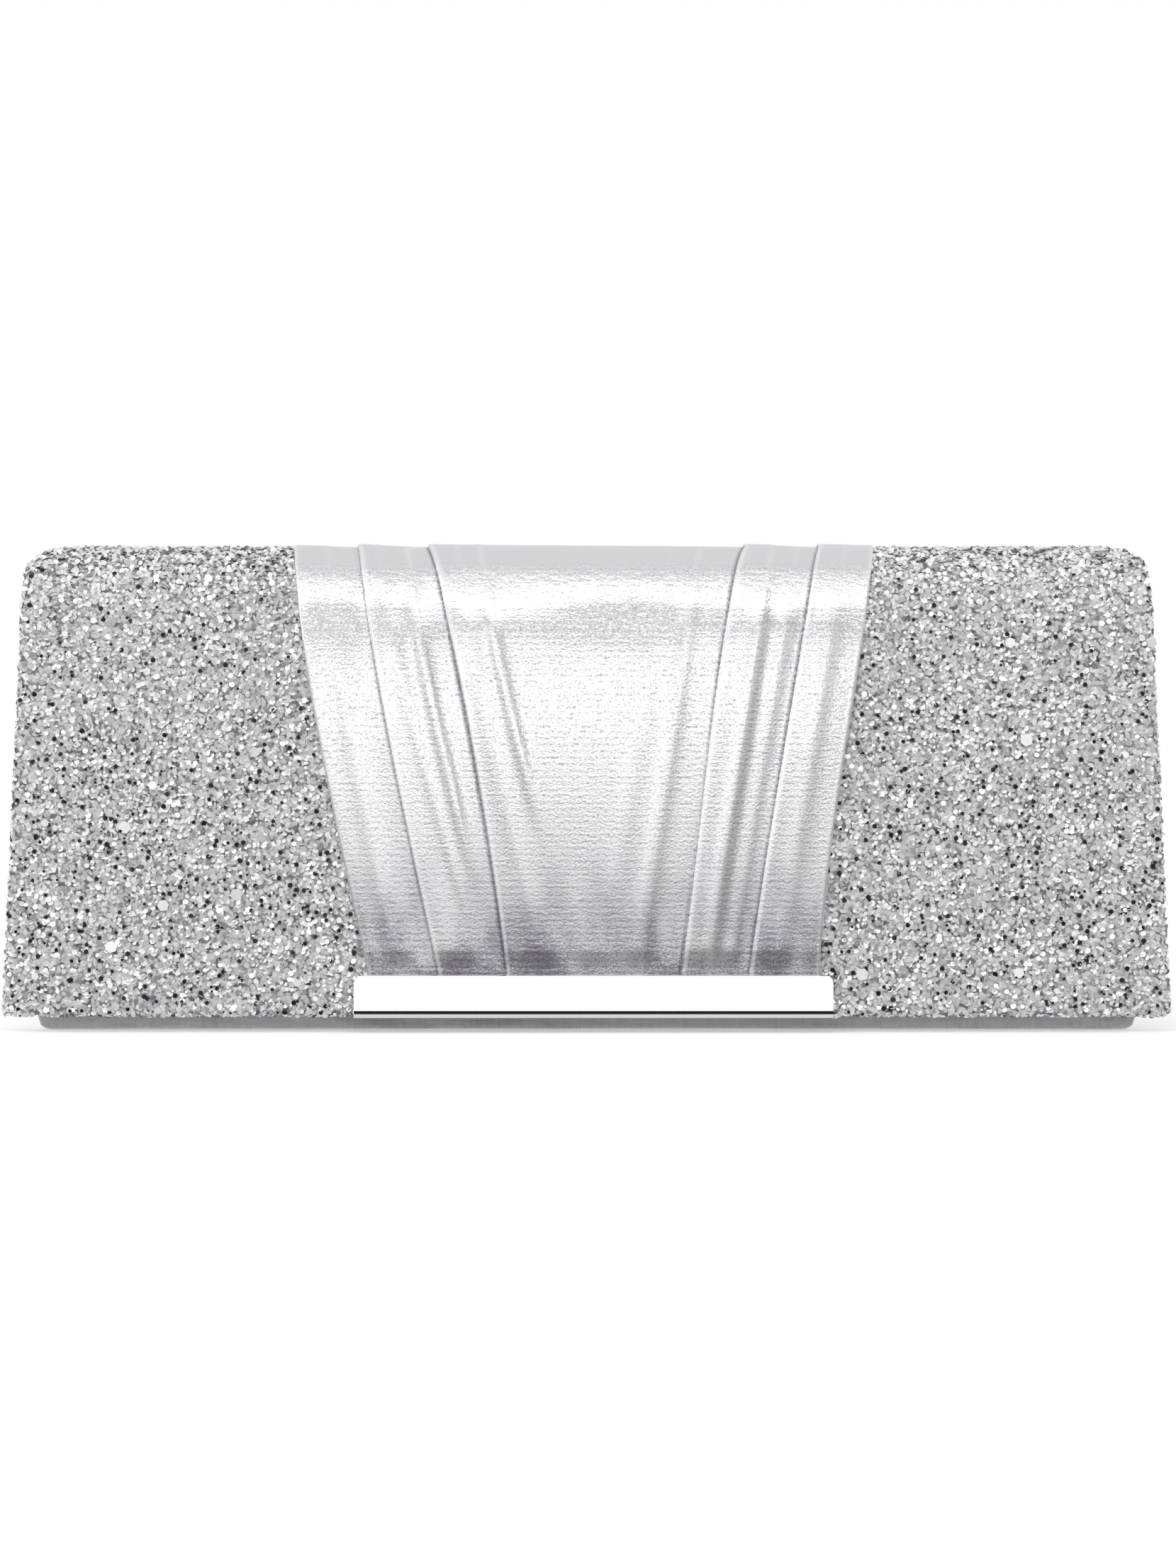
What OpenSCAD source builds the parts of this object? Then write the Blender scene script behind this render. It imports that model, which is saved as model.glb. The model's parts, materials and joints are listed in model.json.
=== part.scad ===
// Evening clutch bag: a gusseted satin body under a rigid flap of glitter cloth, with a pleated
// band down the middle of the flap and a polished clasp bar along its lower edge.
// Frame: +Z up, the bag's front towards -Y, origin on the table under the middle of the bag.
// All sizes are in millimetres and all angles in degrees.

/* [Overall] */
// Width of the flap along its lower edge
flap_w = 250; // [240:1:262]
// Height from the table to the top of the pleated band
total_h = 105; // [101:1:110]
// Depth from the clasp bar's lip to the seam behind the hinge
total_d = 50; // [48:1:56]

/* [Flap] */
// Lean of the flap's front face, back from the vertical
lean = 8; // [6:0.5:9]
// Radius of the bend from the flap's front to its top
bend_r = 16; // [14:0.5:17]
// Slope of the flap's top, down towards the hinge
top_slope = 10; // [8:1:12]
// How far each side of the flap draws in over the bend, which rounds its top corners
corner_draw = 7; // [5:0.5:9]
// Depth over which the sides draw in, seen from above
corner_d = 16; // [12:1:20]
// How far each side of the flap draws in, from its lower edge to its top corner
side_draw = 2.8; // [2:0.1:4]
// Height of the flap's lower edge above the table
flap_gap = 3.9; // [3.5:0.1:5]

/* [Hinge] */
// Outer radius of the glitter cloth where it turns over the hinge
hinge_r = 3; // [2.8:0.1:3.4]
// Length of bare cloth between the hinge line and the flap's board
hinge_gap = 6; // [5.5:0.1:7]
// Length of the cloth that is sewn down on the back panel
seam_h = 9; // [6:0.5:12]

/* [Body] */
// Width of the body at the table
body_w = 237; // [228:1:239]
// Width of the body at its mouth
mouth_w = 231; // [222:1:233]
// Height of the front panel, measured up its face from the flap's lower edge
front_h = 84; // [80:1:86]
// Gap between the closed flap's lining and the front panel
flap_clear = 3.2; // [3:0.1:4]
// Radius of the fold along the front panel's foot
foot_r = 1.5; // [1.2:0.1:1.8]
// Play between the front panel's foot and the base behind it, so that the panel can tilt
foot_play = 0.8; // [0.6:0.1:1]
// How far each gusset is folded inwards at the mouth
gusset_fold = 14; // [8:1:18]
// Height of the gussets
gusset_h = 84; // [78:1:86]

/* [Cloth and board] */
// Thickness of the glitter cloth
glitter_t = 0.8; // [0.7:0.1:0.9]
// Thickness of the pleated band
band_t = 1; // [0.8:0.1:1.2]
// Thickness of the foam under the glitter cloth
foam_t = 1.2; // [1:0.1:1.4]
// Thickness of the boards in the panels
board_t = 1.5; // [1.4:0.1:1.6]
// Thickness of the board in the base
base_board_t = 2; // [1.6:0.1:2.4]
// Thickness of the satin on the body
satin_t = 0.6; // [0.5:0.1:0.7]
// Thickness of the lining cloth
lining_t = 0.4; // [0.3:0.05:0.5]
// Thickness of the gussets
gusset_t = 0.8; // [0.6:0.1:1]

/* [Pleated band] */
// Width of the band where it passes over the top
band_top_w = 127; // [118:1:132]
// Width of the band where it meets the clasp bar
band_foot_w = 98; // [90:1:100]
// Sideways drift of the band's lower end and of the bar
band_drift = 1.5; // [0:0.1:2]

/* [Clasp bar] */
// Width of the bar
bar_w = 102.6; // [102:0.1:112]
// Height of the bar's face above the flap's lower edge
bar_face_h = 8.4; // [7.5:0.1:9]
// Height of the lip below the flap's lower edge
bar_lip_h = 0.9; // [0.7:0.1:1.1]
// Thickness of the bar's front wall at its lower edge
bar_t = 1.4; // [1.2:0.1:1.6]
// How much thinner the front wall is at its upper edge
bar_slant = 0.5; // [0:0.1:0.6]
// Radius of the bar's upper corners
bar_corner_r = 2; // [1:0.5:3]
// Thickness of the plate that clamps the bar from inside
plate_t = 1; // [0.8:0.1:1.2]
// Distance between neighbouring screws
screw_pitch = 40; // [30:1:44]

/* [Magnetic snap] */
// Radius of both halves of the snap
snap_r = 9; // [7:0.5:9]
// Height of the snap up the flap's face
snap_u = 26; // [22:1:40]
// Radius of the hole in the socket
socket_hole_r = 3; // [2.9:0.1:3.2]

/* [Slip pocket] */
// Width of the pocket
pocket_w = 116; // [90:1:130]
// Height of the pocket
pocket_h = 56; // [40:1:60]
// Depth of the space in the pocket
pocket_d = 4.8; // [4.4:0.1:5.5]
// Thickness of the pocket cloth
pocket_t = 0.6; // [0.5:0.1:0.8]

/* [Strap rings] */
// Distance of each ring from the middle of the bag
ring_x = 86; // [76:1:88]
// Height of the ring's pivot
ring_z = 84; // [80:1:86]
// Radius of the ring's wire
wire_r = 1; // [0.9:0.1:1.1]
// Inner radius of the ring's bow
ring_in_r = 6; // [5.5:0.1:6.5]
// Length of the ring's straight legs
ring_leg = 2.5; // [2:0.1:3]
// Width of the cloth tab that holds the ring
tab_w = 8; // [6:0.5:9]

/* [Hidden] */
$fn = 64;
// A length longer than the whole bag, for cutting blocks
far = 400;
// Overshoot that keeps cutting faces clear of each other
over = 1;
// Straight steps in each bend of a cloth or board
arc_steps = 18;

// Depths behind the flap's glitter face
foam_v = glitter_t;
board_v = foam_v + foam_t;
lining_v = board_v + board_t;
flap_t = lining_v + lining_t;
panel_v = flap_t + flap_clear;
panel_board_v = panel_v + satin_t;
panel_lining_v = panel_board_v + board_t;
panel_in_v = panel_lining_v + lining_t;

// The flap's outer section: a straight face, a round bend and a sloping top
front_y = -total_d / 2 + (band_t + bar_t) * cos(lean) + bar_lip_h * sin(lean);
bend_z = total_h - band_t - bend_r;
bend_y = front_y + (bend_z + bend_r * sin(lean) - flap_gap) * tan(lean) + bend_r * cos(lean);
face_len = (bend_z + bend_r * sin(lean) - flap_gap) / cos(lean);
hinge_y = total_d / 2 - hinge_r - band_t;
top_len = (hinge_y + hinge_r * sin(top_slope) - bend_y - bend_r * sin(top_slope)) / cos(top_slope);
hinge_z = bend_z + (bend_r - hinge_r) * cos(top_slope) - top_len * sin(top_slope);

// The flap's outline: its sides draw in evenly up the front, then faster over the bend
side_taper = atan(side_draw / (bend_z - flap_gap));
corner_y = bend_y + 3 - corner_d;
hinge_x = flap_w / 2 - side_draw - corner_draw;

// The back panel, from its inner lining face out to the satin
back_out_y = hinge_y + hinge_r - glitter_t;
back_board_y = back_out_y - satin_t - board_t;
back_in_y = back_board_y - lining_t;
back_top_z = hinge_z - 4;

// The base, the front panel's foot fold and the gussets
base_top_z = satin_t + base_board_t + lining_t;
foot_z = foot_r;
foot_y = front_y + (panel_v + foot_r) / cos(lean) + (foot_z - flap_gap) * tan(lean);
base_front_y = front_y + panel_in_v / cos(lean) + (0 - flap_gap) * tan(lean) + foot_play;
gusset_v = panel_in_v + 0.3;
body_taper = atan((body_w - mouth_w) / 2 / (front_h * cos(lean)));

// The snap
stud_plate_t = 0.8;
washer_t = 0.4;
washer_r = snap_r - 1;
neck_r = 1.45;
neck_hole_r = 1.55;
socket_v = flap_t + stud_plate_t + 0.2;
cup_t = 0.4;
base_t = 0.4;

// The clasp bar's screws and posts
screw_u = 4;
post_r = 1.5;
post_hole_r = 1.6;
screw_r = 0.75;
screw_hole_r = 0.8;
screw_head_r = 1.7;
screw_head_t = 0.6;

// The strap rings
ring_y = back_in_y - 2.6;
bow_r = ring_in_r + wire_r;
tab_gap = 0.06;
tab_t = 0.7;

// A point of the flap's section: u up its face from the lower edge, v behind its glitter surface
function face_point(u, v) =
    [front_y + u * sin(lean) + v * cos(lean), flap_gap + u * cos(lean) - v * sin(lean)];

// A point of the flap's section: s along its sloping top from the bend, v under its outer surface
function top_point(s, v) =
    [bend_y + (bend_r - v) * sin(top_slope) + s * cos(top_slope),
     bend_z + (bend_r - v) * cos(top_slope) - s * sin(top_slope)];

// Points along an arc about c from angle a0 to a1
function arc(c, r, a0, a1) =
    [for (i = [0:arc_steps]) let (a = a0 + (a1 - a0) * i / arc_steps) c + r * [cos(a), sin(a)]];

// Half the body's width at height z
function body_half(z) = body_w / 2 - z * tan(body_taper);

// Sweeps a section drawn in Y and Z across the bag
module across(width) {
    rotate([90, 0, 90]) linear_extrude(height = width, center = true) children();
}

// Sweeps an outline drawn in X and Z through the bag from y0 to y1
module through(y0, y1) {
    translate([0, y1, 0]) rotate([90, 0, 0]) linear_extrude(height = y1 - y0) children();
}

// Places a child on the flap's face: X across, Y into the bag and Z up the face
module on_face(x, u) {
    translate([x, face_point(u, 0)[0], face_point(u, 0)[1]]) rotate([-lean, 0, 0]) children();
}

// A round pin that runs into the bag from depth v0 to v1, with an optional taper
module pin(x, u, v0, v1, r, r_end = 0) {
    on_face(x, u) translate([0, v0, 0]) rotate([-90, 0, 0])
        cylinder(h = v1 - v0, r1 = r, r2 = r_end > 0 ? r_end : r);
}

// One layer of the flap's section, between depths v0 and v1, from height u0 to short of the hinge
module flap_section(v0, v1, u0 = 0, short = hinge_gap) {
    reach = top_len - short;
    bend = [bend_y, bend_z];
    polygon(concat([face_point(u0, v0)], arc(bend, bend_r - v0, 180 - lean, 90 - top_slope),
                   [top_point(reach, v0), top_point(reach, v1)],
                   arc(bend, bend_r - v1, 90 - top_slope, 180 - lean), [face_point(u0, v1)]));
}

// The flap's sides seen from the front, drawn in by d
module flap_front_outline(d) {
    foot_x = flap_w / 2 - d + flap_gap * tan(side_taper);
    top_x = foot_x - 2 * total_h * tan(side_taper);
    polygon([[-foot_x, 0], [foot_x, 0], [top_x, 2 * total_h], [-top_x, 2 * total_h]]);
}

// The flap's sides seen from above, drawn in by d: an S-curve down to the width at the hinge
module flap_plan_outline(d) {
    steps = 16;
    swell = 0.4;
    curve = [for (i = [0:steps])
        [hinge_x - d + (corner_draw + swell) * (1 + cos(180 * i / steps)) / 2,
         corner_y + corner_d * i / steps]];
    half = concat([[flap_w, -far], [flap_w, corner_y]], curve, [[hinge_x - d, far]]);
    polygon(concat(half, [for (i = [len(half) - 1:-1:0]) [-half[i][0], half[i][1]]]));
}

// Everything within the flap's outline drawn in by d
module flap_bounds(d) {
    intersection() {
        through(-far, far) flap_front_outline(d);
        translate([0, 0, -over]) linear_extrude(height = far) flap_plan_outline(d);
    }
}

// The posts of the clasp bar, or the holes for them
module posts(v0, v1, r) {
    for (k = [-1:1]) pin(band_drift + k * screw_pitch, screw_u, v0, v1, r);
}

// A flap layer between two depths, drawn in by d
module flap_layer(v0, v1, d, short = hinge_gap) {
    intersection() {
        across(far) flap_section(v0, v1, d, short);
        flap_bounds(d);
    }
}

// The holes that the stud's neck and the bar's posts need in a flap layer
module flap_holes(v0, v1, neck = true) {
    posts(v0 - over, v1 + over, post_hole_r);
    if (neck) pin(0, snap_u, v0 - over, v1 + over, neck_hole_r);
}

module flap_cover() {
    color("gainsboro") difference() {
        flap_layer(0, lining_v, 0);
        flap_layer(foam_v, lining_v + over, glitter_t, hinge_gap - over);
        flap_holes(0, glitter_t, false);
    }
}

module flap_foam() {
    color("whitesmoke") difference() {
        flap_layer(foam_v, board_v, glitter_t);
        flap_holes(foam_v, board_v, false);
        pin(0, snap_u, board_v - washer_t, board_v + over, washer_r + 0.2);
    }
}

module flap_board() {
    color("tan") difference() {
        flap_layer(board_v, lining_v, glitter_t);
        flap_holes(board_v, lining_v);
    }
}

module flap_lining() {
    color("silver") difference() {
        flap_layer(lining_v, flap_t, 0.2);
        flap_holes(lining_v, flap_t);
    }
}

// The pleated band's outline: it widens upwards, then runs straight over the top
module band_outline() {
    foot_z0 = flap_gap;
    polygon([[band_drift - band_foot_w / 2, foot_z0], [band_drift + band_foot_w / 2, foot_z0],
             [band_top_w / 2, bend_z], [band_top_w / 2, total_h + over],
             [-band_top_w / 2, total_h + over], [-band_top_w / 2, bend_z]]);
}

module pleated_band() {
    color("lightgray") difference() {
        intersection() {
            across(far) flap_section(-band_t, 0);
            through(-far, far) band_outline();
        }
        posts(-band_t - over, over, post_hole_r);
    }
}

// The bar's section: a front wall with a groove above its lip, and a floor under the flap's edge
module bar_section() {
    face_v = -band_t - bar_t;
    chamfer = 0.3;
    groove = [-0.1, 0.6];
    groove_v = face_v + 0.5;
    polygon([[face_v, -bar_lip_h], [flap_t, -bar_lip_h], [flap_t, 0], [-band_t, 0],
             [-band_t, bar_face_h], [face_v + bar_slant + chamfer, bar_face_h],
             [face_v + bar_slant, bar_face_h - chamfer],
             [face_v, groove[1]], [groove_v, groove[1]], [groove_v, groove[0]], [face_v, groove[0]]]);
}

// The bar's outline from the front, with round upper corners
module bar_outline() {
    top_z = bar_face_h - bar_corner_r;
    corner = bar_w / 2 - bar_corner_r;
    translate([-bar_w / 2, -bar_lip_h]) square([bar_w, top_z + bar_lip_h]);
    translate([-corner, top_z]) square([2 * corner, bar_corner_r]);
    for (k = [-1, 1]) translate([k * corner, top_z]) circle(r = bar_corner_r);
}

module clasp_bar() {
    color("white") {
        difference() {
            union() {
                on_face(band_drift, 0) intersection() {
                    across(bar_w) bar_section();
                    through(-far, far) bar_outline();
                }
                posts(-band_t - bar_t / 2, flap_t, post_r);
            }
            posts(0, flap_t + over, screw_hole_r);
        }
    }
}

module bar_back_plate() {
    inset = 2.6;
    top_drop = 1;
    color("silver") difference() {
        on_face(band_drift, 0) translate([-bar_w / 2 + inset, flap_t, -bar_lip_h])
            cube([bar_w - 2 * inset, plate_t, bar_face_h - top_drop + bar_lip_h]);
        posts(flap_t - over, flap_t + plate_t + over, screw_hole_r + 0.1);
    }
}

module bar_screws() {
    head_v = flap_t + plate_t;
    slot = [2.4, screw_head_t / 2, 0.4];
    color("dimgray") for (k = [-1:1]) difference() {
        union() {
            pin(band_drift + k * screw_pitch, screw_u, 1, head_v + screw_head_t / 2, screw_r);
            pin(band_drift + k * screw_pitch, screw_u, head_v, head_v + screw_head_t, screw_head_r);
        }
        for (turn = [0, 90])
            on_face(band_drift + k * screw_pitch, screw_u) translate([0, head_v + screw_head_t, 0])
                rotate([0, turn, 0]) cube([slot[0], 2 * slot[1], slot[2]], center = true);
    }
}

module snap_stud() {
    post_v = flap_t + stud_plate_t;
    post_len = 1.8;
    color("silver") {
        pin(0, snap_u, flap_t, post_v, snap_r);
        pin(0, snap_u, flap_t + stud_plate_t / 2, post_v + post_len, 2.1, 1.6);
        pin(0, snap_u, board_v - washer_t, flap_t + stud_plate_t / 2, neck_r);
    }
}

module stud_washer() {
    color("gray") difference() {
        pin(0, snap_u, board_v - washer_t, board_v, washer_r);
        pin(0, snap_u, board_v - washer_t - over, board_v + over, neck_hole_r);
    }
}

module snap_socket() {
    color("silver") difference() {
        pin(0, snap_u, socket_v, panel_v, snap_r);
        pin(0, snap_u, socket_v - over, panel_v + over, socket_hole_r);
        difference() {
            pin(0, snap_u, socket_v + cup_t, panel_v + over, snap_r - cup_t);
            pin(0, snap_u, socket_v, panel_v - base_t, socket_hole_r + cup_t);
        }
    }
}

module snap_magnet() {
    color("dimgray") difference() {
        pin(0, snap_u, socket_v + cup_t, panel_v - base_t, snap_r - cup_t - 0.05);
        pin(0, snap_u, socket_v, panel_v, socket_hole_r + cup_t + 0.05);
    }
}

module socket_base() {
    color("gray") {
        pin(0, snap_u, panel_v - base_t, panel_v, snap_r - cup_t - 0.05);
        pin(0, snap_u, panel_v - base_t / 2, panel_lining_v, neck_r);
    }
}

module socket_washer() {
    color("gray") difference() {
        pin(0, snap_u, panel_lining_v - washer_t, panel_lining_v, washer_r);
        pin(0, snap_u, panel_lining_v - washer_t - over, panel_lining_v + over, neck_hole_r);
    }
}

// The front panel's section between depths v0 and v1, with its round foot drawn in by d
module front_section(v0, v1, d) {
    foot = [foot_y, foot_z];
    r = foot_r - d;
    inner_foot = face_point(0, v1)[0] + (d - face_point(0, v1)[1]) * tan(lean);
    polygon([foot, [foot_y, d], [inner_foot, d], face_point(front_h - d, v1), face_point(front_h - d, v0),
             foot + r * [-cos(lean), sin(lean)]]);
    translate(foot) circle(r = r);
}

// The body's outline from the front, drawn in by d, up to height z1
module body_outline(d, z1) {
    cut = 2.5 - min(d, 1.5);
    foot = body_half(0) - d;
    top = body_half(z1) - d;
    polygon([[cut - foot, 0], [foot - cut, 0], [foot, cut], [top, z1], [-top, z1], [-foot, cut]]);
}

module front_block(v0, v1, d) {
    intersection() {
        across(far) front_section(v0, v1, d);
        through(-far, far) body_outline(d, total_h);
    }
}

module front_cover() {
    color("gray") difference() {
        front_block(panel_v, panel_lining_v, 0);
        front_block(panel_board_v, panel_lining_v + over, satin_t);
        pin(0, snap_u, panel_v - over, panel_board_v + over, neck_hole_r);
    }
}

module front_board() {
    color("tan") difference() {
        front_block(panel_board_v, panel_lining_v, satin_t);
        pin(0, snap_u, panel_v, panel_in_v, neck_hole_r);
        pin(0, snap_u, panel_lining_v - washer_t, panel_in_v, washer_r + 0.2);
    }
}

module front_lining() {
    inset = 1.5;
    foot_lift = base_top_z + 0.6;
    color("silver") intersection() {
        across(far) polygon([face_point(foot_lift - flap_gap, panel_lining_v),
                             face_point(front_h - inset, panel_lining_v),
                             face_point(front_h - inset, panel_in_v),
                             face_point(foot_lift - flap_gap, panel_in_v)]);
        through(-far, far) body_outline(inset, total_h);
    }
}

// A slab of the back panel between two depths, drawn in by d
module back_block(y0, y1, d, z0, z1) {
    intersection() {
        translate([-far / 2, y0, z0]) cube([far, y1 - y0, z1 - z0]);
        through(-far, far) body_outline(d, total_h);
    }
}

module back_cover() {
    color("gray") difference() {
        back_block(back_board_y, back_out_y, 0, 0, back_top_z);
        back_block(back_board_y - over, back_out_y - satin_t, satin_t, satin_t, back_top_z - satin_t);
    }
}

module back_board() {
    color("tan") back_block(back_board_y, back_out_y - satin_t, satin_t, satin_t, back_top_z - satin_t);
}

module back_lining() {
    color("silver") back_block(back_in_y, back_board_y, 1.5, base_top_z, back_top_z);
}

module base_slab(z0, z1, y1) {
    half = body_half(0) - gusset_t - 1.6;
    translate([-half, base_front_y, z0]) cube([2 * half, y1 - base_front_y, z1 - z0]);
}

module base_cover() {
    color("gray") base_slab(0, satin_t, back_board_y);
}

module base_board() {
    color("tan") base_slab(satin_t, satin_t + base_board_t, back_board_y);
}

module base_lining() {
    color("silver") base_slab(satin_t + base_board_t, base_top_z, back_board_y);
}

// A gusset: two leaves that stand square on the base and fold inwards towards the mouth
module gusset(side) {
    top_z = gusset_h - gusset_t;
    low_x = body_half(0) - gusset_t - 0.9;
    high_x = body_half(gusset_h) - gusset_t - 0.9;
    front_low = gusset_front(satin_t);
    front_high = gusset_front(gusset_h);
    back = back_in_y - gusset_t;
    mid_low = [low_x, (front_low + back) / 2, satin_t];
    mid_high = [high_x - gusset_fold, (front_high + back) / 2, top_z];
    for (leaf = [[front_low, front_high], [back, back]]) {
        low = [low_x, leaf[0], satin_t];
        high = [high_x, leaf[1], top_z];
        facet(side, low, mid_low, mid_high);
        facet(side, low, high, mid_high);
    }
}

// The depth of a gusset's front edge at height z
function gusset_front(z) = face_point((z - flap_gap) / cos(lean) + gusset_v * tan(lean), gusset_v)[0];

// A flat three-cornered piece of a gusset
module facet(side, a, b, c) {
    hull() for (p = [a, b, c])
        translate([side > 0 ? p[0] : -p[0] - gusset_t, p[1], p[2]]) cube(gusset_t);
}

module left_gusset() {
    color("gray") gusset(-1);
}

module right_gusset() {
    color("gray") gusset(1);
}

module slip_pocket() {
    low_z = 10;
    depth = pocket_d + pocket_t;
    color("silver") difference() {
        translate([-pocket_w / 2, back_in_y - depth, low_z]) cube([pocket_w, depth, pocket_h]);
        translate([-pocket_w / 2 + pocket_t, back_in_y - pocket_d, low_z + pocket_t])
            cube([pocket_w - 2 * pocket_t, pocket_d + over, pocket_h]);
    }
}

// A cloth tab: a strip down the back lining that ends in a loop round the ring's straight bar
module ring_tab(x) {
    loop_r = wire_r + tab_gap + tab_t;
    strip_top = ring_z + 10;
    translate([x, 0, 0]) across(tab_w) difference() {
        union() {
            translate([ring_y, ring_z]) circle(r = loop_r);
            polygon([[ring_y, ring_z], [ring_y + loop_r, ring_z], [back_in_y, ring_z + 2],
                     [back_in_y, strip_top], [back_in_y - 2 * tab_t, strip_top],
                     [back_in_y - 2 * tab_t, ring_z + 3.2], [ring_y, ring_z + loop_r]]);
        }
        translate([ring_y, ring_z]) circle(r = wire_r + tab_gap);
    }
}

module left_ring_tab() {
    color("silver") ring_tab(-ring_x);
}

module right_ring_tab() {
    color("silver") ring_tab(ring_x);
}

// A D-ring: a straight bar that turns in the tab, two short legs and a round bow
module d_ring(x) {
    translate([x, ring_y, ring_z]) {
        rotate([0, 90, 0]) cylinder(h = 2 * bow_r, r = wire_r, center = true);
        for (k = [-1, 1]) {
            translate([k * bow_r, 0, 0]) sphere(r = wire_r);
            translate([k * bow_r, 0, -ring_leg]) cylinder(h = ring_leg, r = wire_r);
        }
        translate([0, 0, -ring_leg]) rotate([-90, 0, 0])
            rotate_extrude(angle = 180) translate([bow_r, 0]) circle(r = wire_r);
    }
}

module left_ring() {
    color("silver") d_ring(-ring_x);
}

module right_ring() {
    color("silver") d_ring(ring_x);
}

// Cloth that turns over the hinge: down the back for tail, round the hinge and along the flap's top
module hinge_section(r0, r1, tail) {
    reach = top_len - hinge_gap + 0.3;
    hinge = [hinge_y, hinge_z];
    polygon(concat([hinge + [r1, -tail]], arc(hinge, r1, 0, 90 - top_slope),
                   [top_point(reach, hinge_r - r1), top_point(reach, hinge_r - r0)],
                   arc(hinge, r0, 90 - top_slope, 0), [hinge + [r0, -tail]]));
}

module hinge_cover() {
    color("gainsboro") across(2 * hinge_x) hinge_section(hinge_r - glitter_t, hinge_r, seam_h + 4);
}

module hinge_band() {
    color("lightgray") across(band_top_w) hinge_section(hinge_r, hinge_r + band_t, seam_h + 4);
}

// The round cord inside the fold, which the flap turns about
module hinge_cord() {
    cord_r = hinge_r - glitter_t - 0.05;
    color("white") translate([0, hinge_y, hinge_z]) rotate([0, 90, 0])
        cylinder(h = 2 * hinge_x - 8, r = cord_r, center = true);
}

// The lining that bridges from the back panel to the flap inside the bag
module hinge_lining() {
    reach = top_len - hinge_gap + 0.3;
    color("silver") across(2 * (body_half(back_top_z) - 1.5))
        polygon([[back_in_y, back_top_z], [back_board_y, back_top_z],
                 top_point(reach, lining_v), top_point(reach, flap_t)]);
}

back_cover();
back_board();
back_lining();
base_cover();
base_board();
base_lining();
left_gusset();
right_gusset();
slip_pocket();
left_ring_tab();
right_ring_tab();
hinge_cover();
hinge_band();
hinge_lining();
hinge_cord();
front_cover();
front_board();
front_lining();
snap_socket();
snap_magnet();
socket_base();
socket_washer();
flap_cover();
flap_foam();
flap_board();
flap_lining();
pleated_band();
clasp_bar();
bar_back_plate();
bar_screws();
snap_stud();
stud_washer();
left_ring();
right_ring();
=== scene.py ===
"""Evening clutch bag: cloth, glitter, pleats and metal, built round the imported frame. Lengths in metres."""
import bmesh
import bpy
import json
import math
import numpy as np
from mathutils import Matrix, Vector


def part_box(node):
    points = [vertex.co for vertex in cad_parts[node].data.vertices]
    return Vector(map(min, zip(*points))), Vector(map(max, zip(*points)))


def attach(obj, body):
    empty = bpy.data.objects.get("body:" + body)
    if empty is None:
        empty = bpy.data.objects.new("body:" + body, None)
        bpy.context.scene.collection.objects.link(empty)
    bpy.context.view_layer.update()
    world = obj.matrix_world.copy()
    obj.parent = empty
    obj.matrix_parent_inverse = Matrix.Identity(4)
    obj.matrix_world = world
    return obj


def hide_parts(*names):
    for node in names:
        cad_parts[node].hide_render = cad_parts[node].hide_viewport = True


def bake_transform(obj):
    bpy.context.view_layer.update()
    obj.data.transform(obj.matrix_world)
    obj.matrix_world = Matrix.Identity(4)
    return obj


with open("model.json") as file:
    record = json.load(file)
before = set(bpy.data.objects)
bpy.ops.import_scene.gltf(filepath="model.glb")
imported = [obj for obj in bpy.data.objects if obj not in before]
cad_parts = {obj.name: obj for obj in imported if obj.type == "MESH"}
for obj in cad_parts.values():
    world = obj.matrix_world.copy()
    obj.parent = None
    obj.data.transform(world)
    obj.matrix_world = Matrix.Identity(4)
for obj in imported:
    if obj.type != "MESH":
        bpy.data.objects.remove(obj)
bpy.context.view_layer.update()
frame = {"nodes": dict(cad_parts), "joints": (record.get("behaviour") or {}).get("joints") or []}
MM = 0.001

# ---------------------------------------------------------------- sizes, taken from the frame

LEAN = math.radians(8)
TOP_SLOPE = math.radians(10)
BEND_R = 16 * MM
HINGE_R = 3 * MM
HINGE_GAP = 6 * MM
TAIL = 13 * MM
GLITTER_T = 0.8 * MM
BOARDED_T = 3.5 * MM
FLAP_T = 3.9 * MM
BODY_DRAW = 3 * MM
CORNER_DRAW = 7 * MM
CORNER_D = 16 * MM
SIDE_DRAW = 2.8 * MM
FOOT_CORNER = 3 * MM

CLOTH_UNITS = 10
RIB_PITCH = 1.4 * MM
TWILL_PITCH = 0.8 * MM
STITCH_PITCH = 2.6 * MM
STITCH_LENGTH = 1.9 * MM
THREAD_R = 0.3 * MM
LINING_EDGE = 0.2 * MM
LINING_INSET = 1.6 * MM
FLAP_LINING_INSET = 4.5 * MM

flap_low, flap_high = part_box("flap_cover")
front_low, front_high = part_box("front_cover")
front_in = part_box("front_lining")[0]
back_low, back_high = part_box("back_cover")
back_in_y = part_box("back_lining")[0].y
base_low, base_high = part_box("base_cover")
base_top_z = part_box("base_lining")[1].z
pocket_low, pocket_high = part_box("slip_pocket")
gusset_low, gusset_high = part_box("right_gusset")

joints = {joint["name"]: joint for joint in frame["joints"]}
hinge_y, hinge_z = joints["flap_hinge"]["pos_m"][1:]
ring_y, ring_z = joints["left_ring_swing"]["pos_m"][1:]
face_y = flap_low.y
edge_z = flap_low.z + BOARDED_T * math.sin(LEAN)
bend_z = flap_high.z - BEND_R
face_len = (bend_z + BEND_R * math.sin(LEAN) - edge_z) / math.cos(LEAN)
bend_y = face_y + face_len * math.sin(LEAN) + BEND_R * math.cos(LEAN)
hinge_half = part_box("hinge_cover")[1].x


# ---------------------------------------------------------------- meshes

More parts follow.
